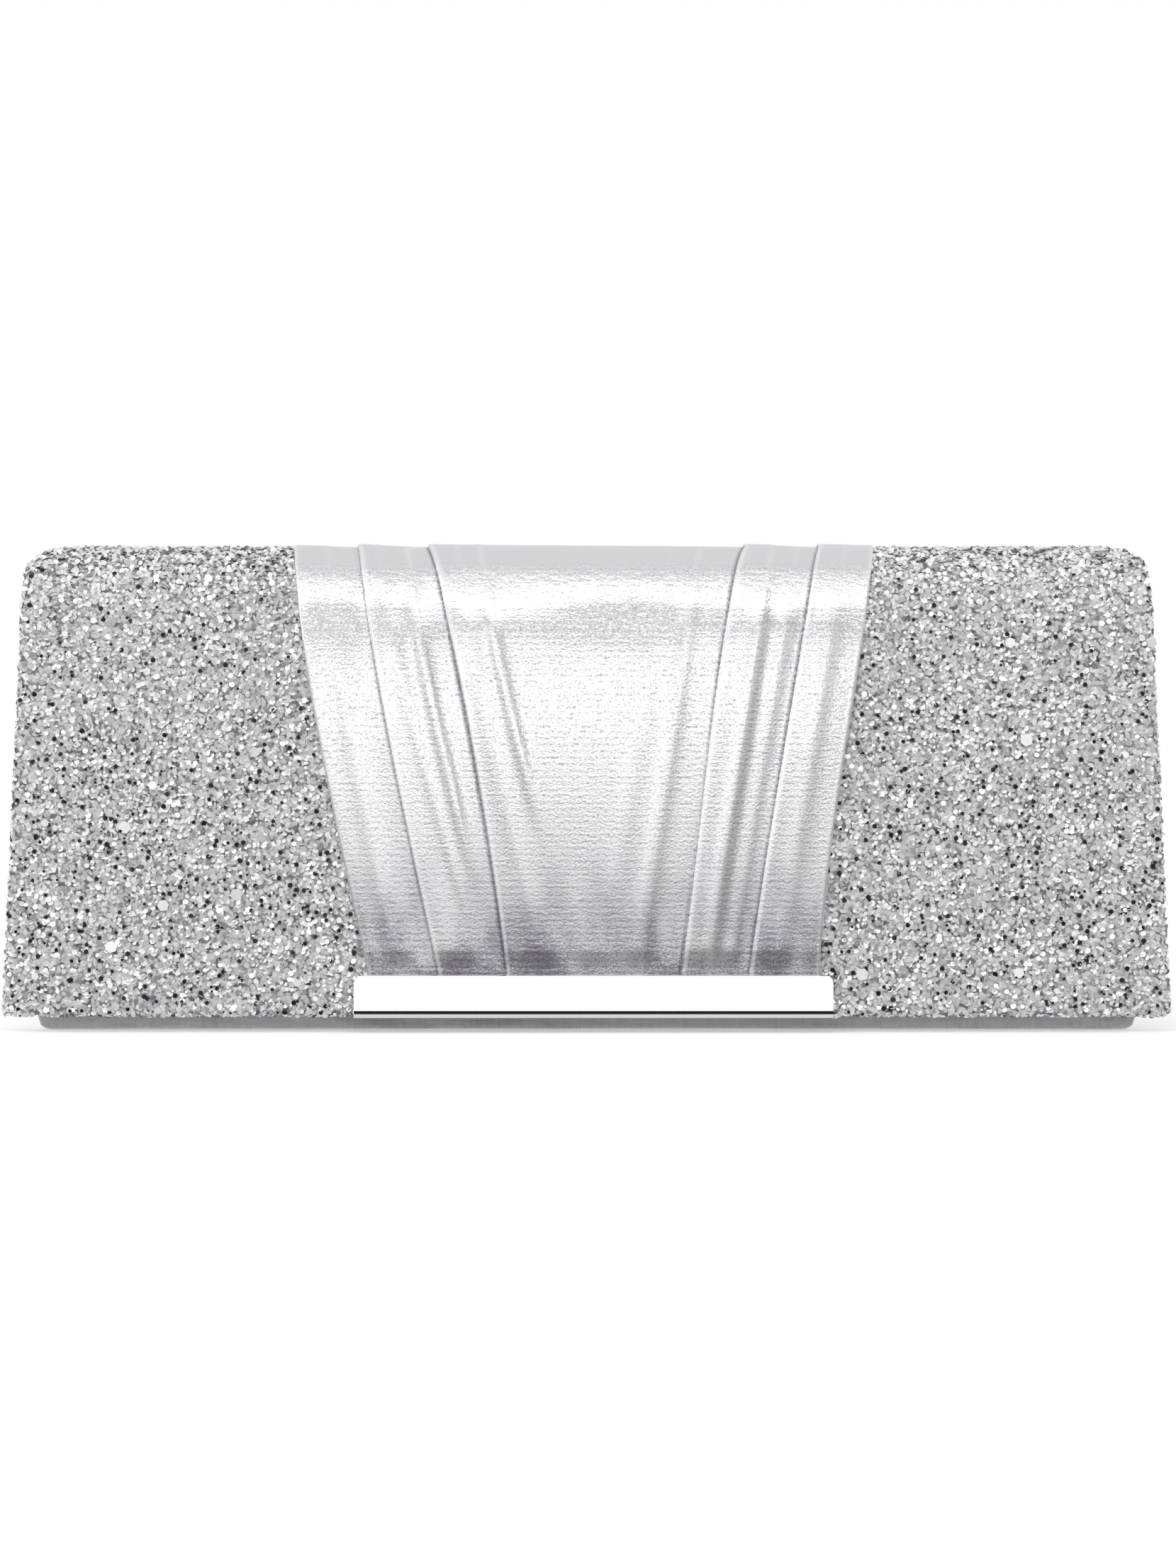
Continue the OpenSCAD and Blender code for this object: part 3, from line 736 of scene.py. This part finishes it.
def glitter_masks(piece, height_of):
    """Marks where flakes lie, and where dark specks gather."""
    mesh = piece.data
    count = len(mesh.vertices)
    spots = np.empty(count * 3)
    mesh.vertices.foreach_get("co", spots)
    normals = np.empty(count * 3)
    mesh.vertices.foreach_get("normal", normals)
    spots, normals = spots.reshape(-1, 3), normals.reshape(-1, 3)
    s, depth = height_of(spots)
    left = station_curve(BAND_LINES[0], s) + 1.4 * MM
    right = station_curve(BAND_LINES[-1], s) - 1.4 * MM
    under = (spots[:, 0] > left) & (spots[:, 0] < right)
    shown = np.where(under | (depth > 2.6 * MM), 0.0, 1.0)
    specks = shown * (0.35 + 0.65 * ramp(-spots[:, 2], -0.095, -0.03))
    add_values(mesh, "glitter", shown)
    add_values(mesh, "specks", specks)


def along_outer(spots):
    """Length along the outer path and depth under it, for points near it."""
    gap = spots[:, None, 1:] - outer.points[None, ::4, :]
    near = np.argmin((gap ** 2).sum(-1), axis=1) * 4
    depth = -((spots[:, 1:] - outer.points[near]) * outer.normals[near]).sum(-1)
    return outer.lengths[near], depth


def make_glitter(name, s0, s1, v0, v1, edge, body, nodes, seed):
    cloth = slab(name, outer.place, flap_half, s0, s1, v0, v1, edge, 1.25 * MM, 1.25 * MM, glitter_relief)
    glitter_masks(cloth, along_outer)
    radius = (0.57 if body else 0.48) * MM
    flakes = run_tree(FLAKE_TREE, name + "_flakes", cloth.data.copy(), {"Seed": seed, "Radius": radius})
    finish_piece(cloth, GLITTER, body, "glitter_cloth", *nodes)
    finish_piece(flakes, None, body, "glitter_cloth")
    return cloth, flakes


make_glitter("glitter_flap", 0.0, flap_stop, 0.0, BOARDED_T, 1.0 * MM, "flap",
             ("flap_cover", "flap_foam", "flap_board"), 7)
hinge_cloth = make_glitter("glitter_hinge", flap_stop - 2.5 * MM, outer.total, 0.05 * MM, GLITTER_T,
                           0.35 * MM, None, ("hinge_cover",), 23)
for cloth in hinge_cloth:
    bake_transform(cloth)


# ---------------------------------------------------------------- the pleated band

FOLD_LOW, FOLD_HIGH = 0.35 * MM, 1.25 * MM
# A knife fold from the panel beneath to the edge on top: distance from the line, and share of the height
KNIFE_FOLD = [(0.7, 0.0), (0.3, 0.1), (0.0, 0.28), (-0.12, 0.55), (-0.04, 0.8), (0.2, 0.97), (0.55, 1.0)]
# The turned edges at the band's sides: distance inwards from the line, and height
TURNED_EDGE = [(0.0, -0.1), (-0.05, 0.35), (0.12, 0.68), (0.45, 0.82), (1.0, 0.78), (1.5, 0.8)]


# The padding under the band: its slope in degrees along the flap, and the height that this adds up to
CROWN_S = np.linspace(0, 92 * MM, 369)
CROWN_SLOPE = np.radians(np.interp(CROWN_S / MM, [0, 8, 11, 25, 35, 46, 58, 70, 78, 82, 86.5, 89.5, 92],
                                   [7.0, 4.5, 1.4, 0.9, 0.3, 0, -0.25, -1.1, -2.0, -3.6, -7.5, -4.0, 0]))
CROWN_H = np.cumsum(CROWN_SLOPE) * CROWN_S[1]
CROWN_H -= CROWN_H[-1] * smooth(CROWN_S / (12 * MM))


def band_row(s):
    """One row of the band from left to right: places across, and heights above the glitter cloth."""
    lines = [station_curve(line, s) for line in BAND_LINES]
    clear_of_bar = float(ramp(s, 9.5 * MM, 14 * MM))
    over_top = 1 - 0.25 * float(ramp(s, 88 * MM, 106 * MM))
    high = (FOLD_HIGH - FOLD_LOW) * (0.55 + 0.45 * clear_of_bar) * over_top + FOLD_LOW
    turned = [h * MM * (0.7 + 0.3 * clear_of_bar) for _, h in TURNED_EDGE]
    xs = [lines[0] + d * MM for d, _ in TURNED_EDGE]
    hs = list(turned)
    for k in range(5):
        left, start = xs[-1], hs[-1]
        if k < 4:
            right, stop = lines[k + 1] + KNIFE_FOLD[0][0] * MM, FOLD_LOW
        else:
            right, stop = lines[5] - TURNED_EDGE[-1][0] * MM, turned[-1]
        inside = np.linspace(0, 1, (66 if k == 2 else 18) + 2)[1:-1]
        xs.extend(left + (right - left) * inside)
        hs.extend(start + (stop - start) * (smooth(0.15 + 0.85 * inside) - smooth(0.15)) / (1 - smooth(0.15)))
        if k < 4:
            xs.extend(lines[k + 1] + d * MM for d, _ in KNIFE_FOLD)
            hs.extend(FOLD_LOW + (high - FOLD_LOW) * share for _, share in KNIFE_FOLD)
        else:
            xs.extend(lines[5] - d * MM for d, _ in reversed(TURNED_EDGE))
            hs.extend(reversed(turned))
    xs, hs = np.array(xs), np.array(hs)
    inner = np.ones(len(xs))
    for line in lines:
        inner *= ramp(np.abs(xs - line), 0.8 * MM, 3.0 * MM)
    swell = np.zeros(len(xs))
    for places, height, width, (fade_low, fade_high) in SOFT_FOLDS:
        centre = station_curve(np.array(places) * MM, s)
        shown = ramp(s, fade_low * MM, fade_high * MM) * (1 - 0.85 * ramp(s, 86 * MM, 100 * MM))
        apart = (xs - centre) / (width * MM)
        swell += height * MM * shown * np.exp(-apart ** 2) * (1 - 0.35 * np.tanh(apart * 2))
    near_bar = 1 - ramp(s, 14 * MM, 34 * MM)
    ripple = np.sin(xs / (2.1 * MM) + 1.3 * np.sin(xs / (6.3 * MM)) + s / (9 * MM))
    swell += 0.16 * MM * near_bar * ripple
    sway = np.sin(xs / (17 * MM) + s / (31 * MM)) * np.sin(s / (23 * MM) + xs / (41 * MM))
    swell += 0.12 * MM * sway
    at_bend = math.exp(-((s - 91 * MM) / (8 * MM)) ** 2)
    swell += 0.3 * MM * at_bend * np.sin(xs / (10 * MM) + 0.6) * math.sin((s - 88 * MM) / (4.5 * MM))
    crown = np.full(len(xs), np.interp(s, CROWN_S, CROWN_H))
    crown[[0, -1]] = 0
    return xs, hs + swell * inner * clear_of_bar + crown


def fold_marks(xs, s):
    """How deep in a crease, and how near a turned edge, each place across the band is: the marks for painted
    shade in creases and painted highlights on edges.
    """
    crease, edge = np.zeros(len(xs)), np.zeros(len(xs))
    # Painted shade in the crease beside each fold line, painted highlight on the folded edge beyond it
    for line in BAND_LINES[1:5]:
        beyond = xs - station_curve(line, s)
        crease = np.maximum(crease, np.exp(-((beyond + 0.28 * MM) / (0.3 * MM)) ** 2))
        edge = np.maximum(edge, np.exp(-((beyond - 0.45 * MM) / (0.3 * MM)) ** 2))
    for line, turn in ((BAND_LINES[0], 1), (BAND_LINES[5], -1)):
        beyond = (xs - station_curve(line, s)) * turn
        edge = np.maximum(edge, 0.8 * np.exp(-((beyond - 0.3 * MM) / (0.35 * MM)) ** 2))
    # Soft folds: a painted highlight along the ridge and faint painted shade beside it
    for places, height, width, (fade_low, fade_high) in SOFT_FOLDS:
        beyond = (xs - station_curve(np.array(places) * MM, s)) / (0.6 * MM)
        pressed = float(ramp(s, fade_low * MM, fade_high * MM)) * min(1.0, height / 0.8)
        edge = np.maximum(edge, 0.55 * pressed * np.exp(-(beyond - 0.2) ** 2))
        crease = np.maximum(crease, 0.14 * pressed * np.exp(-((beyond + 1.6) / 0.8) ** 2))
    return crease * (1 - edge), edge


def make_band(name, s0, s1, sunk, step):
    rows = np.arange(s0, s1 + step / 2, step)
    points, uv, marks = [], [], []
    for s in rows:
        xs, hs = band_row(s)
        points.append(outer.place(xs, np.full(len(xs), s), sunk(s) - hs))
        uv.append(np.c_[xs, np.full(len(xs), s)])
        marks.append(np.stack(fold_marks(xs, s), -1))
    marks = np.array(marks)
    band = sheet_mesh(name, np.array(points), np.array(uv))
    # crease carries painted shade, edge carries painted highlight, both into the base colour
    add_values(band.data, "crease", marks[:, :, 0])
    add_values(band.data, "edge", marks[:, :, 1])
    return thicken(band, 0.22 * MM, -1.0)


band = make_band("pleated_band_cloth", 6.0 * MM, flap_stop, lambda s: 0.0, 0.6 * MM)
finish_piece(band, PLEATED, "flap", "pleated_lame", "pleated_band")


def under_band(s):
    """The hinge's band starts a little below the flap's band, which covers its end."""
    return 0.12 * MM * (1 - float(ramp(s, flap_stop - 0.5 * MM, flap_stop + 0.8 * MM)))


band_fold = make_band("pleated_band_hinge", flap_stop - 2.0 * MM, outer.total, under_band, 0.45 * MM)
finish_piece(band_fold, PLEATED, None, "pleated_lame", "hinge_band")
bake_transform(band_fold)
outer.total - flap_stop


# ---------------------------------------------------------------- linings, panels and gussets

def puff(amount, seed, seam=None):
    """Soft unevenness of cloth laid over a board, with small puckers by a seam."""
    shift = seed * 1.7

    def lift(x, s):
        wave = np.sin(x / (19 * MM) + shift) * np.sin(s / (15 * MM) + 2 * shift)
        fine = np.sin(x / (6.1 * MM) + 3 * shift + 1.5 * np.sin(s / (8 * MM)))
        rise = amount * (0.7 * wave + 0.3 * fine + 0.5)
        if seam is not None:
            near = math.exp(-abs(s - seam) / (5 * MM))
            rise = rise + 0.24 * MM * near * np.sin(x / (1.9 * MM) + 2 * np.sin(x / (13 * MM)))
        return rise

    return lift


def lean_place(x, s, v):
    """A point on the leaning front, s up its face and v behind the flap's outer face."""
    y = face_y + s * math.sin(LEAN) + v * math.cos(LEAN)
    z = edge_z + s * math.cos(LEAN) - v * math.sin(LEAN)
    return np.stack([x + 0 * y, y, z], -1)


def body_half(z):
    return front_high.x - BODY_DRAW * z / (front_high.z - front_low.z)


def foot_cut(z):
    """How much a panel's half-width loses to its rounded foot corner at height z."""
    return FOOT_CORNER - math.sqrt(max(0.0, FOOT_CORNER ** 2 - max(0.0, FOOT_CORNER - z) ** 2))


def lean_half(inset, round_foot=True):
    def half(s):
        z = max(0.0, float(edge_z + s * math.cos(LEAN) - panel_v * math.sin(LEAN)))
        return body_half(z) - inset - (foot_cut(z) if round_foot else 0)
    return half


def upright_half(inset, round_foot=True):
    return lambda s: body_half(s) - inset - (foot_cut(s) if round_foot else 0)


def flipped(place, total):
    """Turns a slab's depth over, so that its relief faces the inside of the bag."""
    return lambda x, s, v: place(x, s, total - v)


def back_place(x, s, v):
    y = back_high.y - v
    return np.stack([x + 0 * y, y + 0 * x, s + 0 * x], -1)


def base_place(x, s, v):
    return np.stack([x + 0 * s, s + 0 * x, v + 0 * x], -1)


def satin_panel(name, place, half, s0, s1, v0, v1, relief, body, *nodes):
    """A satin-covered board."""
    panel = slab(name, place, half, s0, s1, v0, v1, 0.9 * MM, 1.2 * MM, 1.6 * MM, relief)
    finish_piece(panel, SATIN, body, "satin", *nodes)


def lining_cloth(name, place, half, s0, s1, v0, v1, edge, relief, body, node, row=3 * MM):
    """A lining: a thin cloth whose relief faces the inside of the bag."""
    cloth = slab(name, place, half, s0, s1, v0, v1, edge, row=row, relief=relief)
    return finish_piece(cloth, LINING, body, "lining", node)


panel_v = 7.1 * MM
panel_lining_v = 9.2 * MM
lining_face_v = 9.65 * MM
panel_top = 84 * MM
foot_s = -2.7 * MM
satin_panel("front_panel", lean_place, lean_half(0), foot_s, panel_top, panel_v, panel_lining_v,
            puff(0.14 * MM, 1, panel_top - 2.4 * MM), "front", "front_cover", "front_board")


lining_foot = (front_in.z - edge_z) / math.cos(LEAN) + 1.5 * MM
front_lining = lining_cloth("front_lining_cloth", flipped(lean_place, panel_lining_v + lining_face_v),
                            lean_half(LINING_INSET, False), lining_foot, panel_top - LINING_INSET,
                            panel_lining_v, lining_face_v, LINING_EDGE, puff(0.2 * MM, 2),
                            "front", "front_lining")
lining_half = body_half(0.04)
2 * lining_half

satin_panel("back_panel", back_place, upright_half(0), 0.0, back_high.z, 0.0, back_high.y - back_low.y,
            puff(0.12 * MM, 3, back_high.z - 9 * MM), "body", "back_cover", "back_board")
back_lining = lining_cloth("back_lining_cloth", flipped(back_place, back_high.y - back_in_y),
                           upright_half(LINING_INSET, False), base_top_z, back_high.z, 0.0, 0.45 * MM,
                           LINING_EDGE, puff(0.2 * MM, 4), "body", "back_lining")
2 * lining_half

base_half = base_high.x
base_panel = slab("base_panel", base_place, lambda s: base_half, base_low.y, back_low.y, 0.0,
                  base_top_z - 0.4 * MM, 0.5 * MM)
finish_piece(base_panel, SATIN, "body", "satin", "base_cover", "base_board")
base_lining = lining_cloth("base_lining_cloth", flipped(base_place, base_top_z),
                           lambda s: base_half - 0.4 * MM, base_low.y + 0.2 * MM, back_low.y - 0.5 * MM,
                           0.0, 0.4 * MM, 0.18 * MM, puff(0.15 * MM, 6), "body", "base_lining")


def flap_lining_half(s):
    return float(flap_half(s)) - FLAP_LINING_INSET


lining_v = 3.5 * MM
flap_lining = lining_cloth("flap_lining_cloth", flipped(outer.place, lining_v + FLAP_T), flap_lining_half,
                           4.0 * MM, flap_stop - 0.3 * MM, lining_v, FLAP_T, 0.19 * MM,
                           puff(0.12 * MM, 7), "flap", "flap_lining")
flap_stop - 4 * MM

# The lining that crosses the hinge inside
lining_end = tuple(float(k[0]) for k in outer.at(np.array([flap_stop - 1.5 * MM]), FLAP_T - 0.2 * MM))
fold_y = back_in_y - 0.1 * MM
fold_corner = (fold_y, back_high.z - 1 * MM)
inner_fold = Path([straight(lining_end, fold_corner), straight(fold_corner, (fold_y, back_high.z - 5 * MM))])
hinge_lining_half = body_half(0.09)
hinge_lining = lining_cloth("hinge_lining_cloth", inner_fold.place, lambda s: hinge_lining_half - 1.8 * MM,
                            0.0, inner_fold.total, -0.2 * MM, 0.2 * MM, 0.19 * MM, puff(0.1 * MM, 8),
                            None, "hinge_lining", row=0.6 * MM)
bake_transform(hinge_lining)
2 * hinge_lining_half


def make_gusset(side, name, node):
    """A folded cloth end: flat at the base, folding inwards towards the mouth."""
    zs = np.linspace(gusset_low.z, gusset_high.z, 60)
    parts = np.linspace(0, 1, 49)
    low_x = gusset_high.x - 0.8 * MM
    draw = low_x - (body_half(gusset_high.z) - 1.7 * MM)
    fold_deep = gusset_high.x - gusset_low.x - draw - 1.2 * MM
    front_v = 9.9 * MM
    back = back_in_y - 0.5 * MM
    points = np.zeros((len(zs), len(parts), 3))
    for r, z in enumerate(zs):
        up = (z - zs[0]) / (zs[-1] - zs[0])
        front_s = (z - edge_z + front_v * math.sin(LEAN)) / math.cos(LEAN)
        front = float(lean_place(0.0, front_s, front_v)[1])
        tri = 1 - np.abs(2 * parts - 1)
        tent = np.sqrt(tri ** 2 + 0.004) - math.sqrt(0.004)
        peak = 1 - np.sqrt((2 * parts - 1) ** 2 + 0.012) + 0.05
        fold = np.minimum(tent, peak)
        bow = 0.48 * MM * np.sin(math.pi * np.clip(tri, 0, 1)) * up
        points[r, :, 0] = side * (low_x - draw * up - fold_deep * up * fold + bow)
        points[r, :, 1] = front + (back - front) * parts
        points[r, :, 2] = z - 1.6 * MM * up ** 4 * tri
    uv = points[:, :, [1, 2]].copy()
    gusset = sheet_mesh(name, points, uv, 0.7 * MM)
    finish_piece(gusset, SATIN, None, "satin", node)
    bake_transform(gusset)


make_gusset(-1, "gusset_cloth_left", "left_gusset")
make_gusset(1, "gusset_cloth_right", "right_gusset")


def make_binding(rim):
    """A rounded hem along the pocket's top edge."""
    around = np.linspace(0, 2 * math.pi, 13)[:-1]
    loop = [(0.75 * MM * math.cos(a), 1.9 * MM * math.sin(a)) for a in around]
    count = len(loop)
    points = np.array([[(x, y + dy, z + dz - 1.2 * MM) for dy, dz in loop] for x, y, z in rim])
    faces = grid_faces(len(rim), count)
    faces += [tuple(range(count)), tuple(range((len(rim) - 1) * count, len(rim) * count))]
    points = points.reshape(-1, 3)
    finish_piece(new_mesh("pocket_binding", points, faces, points[:, [0, 2]]), SATIN, "body", "lining")


def make_pocket():
    """A patch pocket on the back lining: sewn flat at its sides and foot, standing open at its top."""
    wide = pocket_high.x - 0.5 * MM
    deep = back_in_y - pocket_low.y - 0.6 * MM
    xs = np.linspace(-wide, wide, 97)
    zs = np.linspace(pocket_low.z, pocket_high.z, 50)
    points = np.zeros((len(zs), len(xs), 3))
    for r, z in enumerate(zs):
        up = (z - zs[0]) / (zs[-1] - zs[0])
        side = 1 - np.abs(xs / wide) ** 6
        belly = deep * float(ramp(up, -0.02, 0.45)) * np.clip(side, 0, 1)
        wrinkle = 0.25 * MM * np.sin(xs / (9 * MM) + 2 * up) * up * side
        points[r] = np.c_[xs, back_in_y - 0.35 * MM - belly - wrinkle, z - 0.8 * MM * side * up ** 3 + 0 * xs]
    pocket = sheet_mesh("slip_pocket_cloth", points, points[:, :, [0, 2]].copy(), 0.5 * MM)
    finish_piece(pocket, LINING, "body", "lining", "slip_pocket")
    make_binding(points[-1])
    rows = [points[3:-3, column] - (0, 0.45 * MM, 0) for column in (2, -3)]
    rows.append(points[2, 2:-2] - (0, 0.5 * MM, 0))
    stitch_rows("pocket_stitches", rows, "body", "lining")


make_pocket()


def make_tab(x, name, node):
    """A cloth tab folded round a strap ring's straight bar and sewn to the back lining."""
    loop_r = 1.42 * MM
    top_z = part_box(node)[1].z
    outer_y, inner_y = back_in_y - 0.75 * MM, back_in_y - 0.35 * MM
    turn = arc((ring_y, ring_z), loop_r, 0, -215)
    behind = (inner_y, ring_z + 3 * MM)
    before = (outer_y - 0.4 * MM, ring_z + 4.2 * MM)
    line = Path([straight((inner_y, top_z), behind),
                 straight(behind, (ring_y + loop_r, ring_z + 0.4 * MM)), turn,
                 straight(tuple(turn[-1]), before), straight(before, (outer_y - 0.3 * MM, top_z))])
    strip = slab(name, lambda xs, s, v: line.place(xs + x, s, v), lambda s: 4.0 * MM, 0.0, line.total,
                 -0.3 * MM, 0.3 * MM, 0.2 * MM, 1.0 * MM, 0.5 * MM)
    finish_piece(strip, SATIN, "body", "lining", node)
    low, high = ring_z + 5.0 * MM, top_z - 0.9 * MM
    corners = [(-1, low), (1, low), (1, high), (-1, high), (-1, low)]
    box = [(x + side * 3.2 * MM, outer_y - 0.7 * MM, z) for side, z in corners]
    stitch_rows(name + "_stitches", [box], "body", "lining")


ring_x = joints["right_ring_swing"]["pos_m"][0]
make_tab(-ring_x, "ring_tab_left", "left_ring_tab")
make_tab(ring_x, "ring_tab_right", "right_ring_tab")


# ---------------------------------------------------------------- stitching

def row_on(place, xs, s, v):
    return place(xs, np.full(len(xs), s), np.full(len(xs), v))


def border(place, half, s0, s1, inset, v):
    """Two sides and the foot of a panel, as one open row."""
    up = np.linspace(s1, s0, 60)
    wide = np.array([float(half(s)) - inset for s in up])
    depth = np.full(60, v)
    foot = row_on(place, np.linspace(-wide[-1], wide[-1], 60), s0, v)
    return np.vstack([place(-wide, up, depth), foot[1:-1], place(wide[::-1], up[::-1], depth)])


def across_top(v, inset, back):
    """A row of stitches along the front panel's mouth."""
    mouth = np.linspace(-1, 1, 80) * (lean_half(0)(0.08) - inset)
    return row_on(lean_place, mouth, panel_top - back, v)


def across_seam(left, right, count, lift):
    """A row of stitches along the seam on the back."""
    return row_on(outer.place, np.linspace(left, right, count), outer.total - 2 * MM, -lift)


stitch_rows("flap_lining_stitches", [border(outer.place, flap_lining_half, 5.6 * MM, flap_stop - 1 * MM,
                                            1.6 * MM, FLAP_T + 0.15 * MM)], "flap", "lining")
stitch_rows("front_panel_stitches", [across_top(panel_v - 0.15 * MM, 2 * MM, 2.4 * MM),
                                     across_top(9.85 * MM, 4 * MM, 3.4 * MM)], "front", "satin")
stitch_rows("back_seam_stitches", [across_seam(-hinge_half + 2 * MM, -65.5 * MM, 50, 0.35 * MM),
                                   across_seam(-61 * MM, 60 * MM, 90, 1.0 * MM),
                                   across_seam(64.5 * MM, hinge_half - 2 * MM, 50, 0.35 * MM)],
            "body", "satin")


# ---------------------------------------------------------------- metal parts

def paint_groove_shadow(bar):
    """Paints shadow into the groove above the bar's lip: a near-black material on the faces near its height
    and at its depth.
    """
    bar.data.materials.append(GROOVE_SHADOW)
    for face in bar.data.polygons:
        y, z = face.center[1:]
        up = (z - edge_z) * math.cos(LEAN) + (y - face_y) * math.sin(LEAN)
        into = (y - face_y) * math.cos(LEAN) - (z - edge_z) * math.sin(LEAN)
        if -0.06 * MM < up < 0.57 * MM and -2.28 * MM < into < -1.85 * MM:
            face.material_index = 1


def paint(node, material):
    """Gives a CAD node a finished material."""
    slots = frame["nodes"][node].data.materials
    slots.clear()
    slots.append(material)


for node, body, slot, metal, width in (
        ("clasp_bar", "flap", "polished_metal", POLISHED, 0.14 * MM),
        ("bar_back_plate", "flap", "plain_steel", POLISHED, 0.2 * MM),
        ("bar_screws", "flap", "plain_steel", STEEL, 0.08 * MM),
        ("snap_stud", "flap", "polished_metal", POLISHED, 0.25 * MM),
        ("snap_socket", "front", "polished_metal", POLISHED, 0.3 * MM)):
    part = bevelled(node + "_finished", node, width, metal)
    if node == "clasp_bar":
        paint_groove_shadow(part)
    finish_piece(part, None, body, slot, node)

for node in ("left_ring", "right_ring"):
    paint(node, POLISHED)
for node in ("socket_base", "socket_washer", "stud_washer"):
    paint(node, STEEL)
paint("snap_magnet", MAGNET)
paint("hinge_cord", SATIN)


# ---------------------------------------------------------------- floor, light and camera

def make_floor():
    corners = [(-6, -6, 0), (6, -6, 0), (6, 6, 0), (-6, 6, 0)]
    floor = new_mesh("studio_floor", corners, [(0, 1, 2, 3)], closed=False)
    fixed = {"Roughness": 0.85, "Base Color": (0.9, 0.9, 0.9, 1), "Emission Color": (1, 1, 1, 1),
             "Emission Strength": 0.35}
    floor.data.materials.append(surface("pale_floor", fixed)[0])
    floor.visible_glossy = False


def soft_light(name, place, aim, size, power):
    data = bpy.data.lights.new(name, "AREA")
    data.shape = "RECTANGLE"
    data.size, data.size_y = size
    data.energy = power
    lamp = bpy.data.objects.new(name, data)
    lamp.location = place
    lamp.rotation_euler = (Vector(aim) - Vector(place)).to_track_quat("-Z", "Y").to_euler()
    lamp.visible_camera = False
    bpy.context.scene.collection.objects.link(lamp)


def studio_world():
    """A white room for the eye; what the surfaces reflect is dim low down, with two bright banks above."""
    world = bpy.data.worlds.new("studio")
    bpy.context.scene.world = world
    world.use_nodes = True
    tree = Tree(world.node_tree)
    ray = tree.axes(tree.node("ShaderNodeTexCoord").output("Generated"))
    banks = [(0, 0.28), (7, 0.42), (11, 0.72), (13, 0.8), (16, 1.12), (19.5, 1.2), (21.5, 0.42), (24, 0.36),
             (32, 0.36), (35, 1.12), (62, 1.12), (70, 0.72), (90, 0.72)]
    bank = tree.ramp(ray.output("Z"), [(math.sin(math.radians(angle)), value) for angle, value in banks])
    side = tree.ramp((ray.output("X") + 1.0) * 0.5,
                     [(0.1, 0.85), (0.3, 1.1), (0.42, 1.0), (0.58, 1.0), (0.75, 0.66), (0.95, 0.66)])
    behind = (ray.output("Y") * 4.0 + 0.2).clamped()
    seen = tree.node("ShaderNodeLightPath").output("Is Camera Ray")
    banked = tree.mixed(1.0, bank, side, "MULTIPLY")
    tone = tree.mixed(behind, banked, (0.74, 0.74, 0.75, 1.0))
    shown = tree.mixed(seen, tone, (1.0, 1.0, 1.0, 1.0))
    back = world.node_tree.nodes.new("ShaderNodeBackground")
    tree.feed(back.inputs["Color"], shown)
    back.inputs["Strength"].default_value = 1.0
    output = world.node_tree.nodes.new("ShaderNodeOutputWorld")
    world.node_tree.links.new(back.outputs[0], output.inputs["Surface"])


make_floor()
studio_world()
soft_light("front_softbox", (0.0, -0.75, 0.75), (0, 0, 0.06), (1.2, 0.35), 1.1)
soft_light("left_softbox", (-0.9, -0.5, 0.5), (0, 0, 0.05), (0.4, 0.4), 0.9)
soft_light("strip_light", (0.0, -0.33, 0.178), (0, 0, 0.077), (0.24, 0.022), 0.032)

bpy.context.scene.view_settings.view_transform = "Standard"

CAMERA_UP = math.radians(2.0)
CAMERA_AWAY = 1.0
FRAME_WIDE = 0.2515
SENSOR = 36.0
TALL_OVER_WIDE = 2212 / 1659
camera_data = bpy.data.cameras.new("camera")
camera_data.sensor_fit = "AUTO"
camera_data.sensor_width = SENSOR
camera_data.lens = SENSOR * CAMERA_AWAY / (FRAME_WIDE * TALL_OVER_WIDE)
camera_data.clip_start = 0.05
camera_data.clip_end = 50
camera = bpy.data.objects.new("camera", camera_data)
target = Vector((0.0003, face_y, 0.0533))
camera.location = target + Vector((0, -math.cos(CAMERA_UP), math.sin(CAMERA_UP))) * CAMERA_AWAY
camera.rotation_euler = (target - camera.location).to_track_quat("-Z", "Y").to_euler()
bpy.context.scene.collection.objects.link(camera)
bpy.context.scene.camera = camera
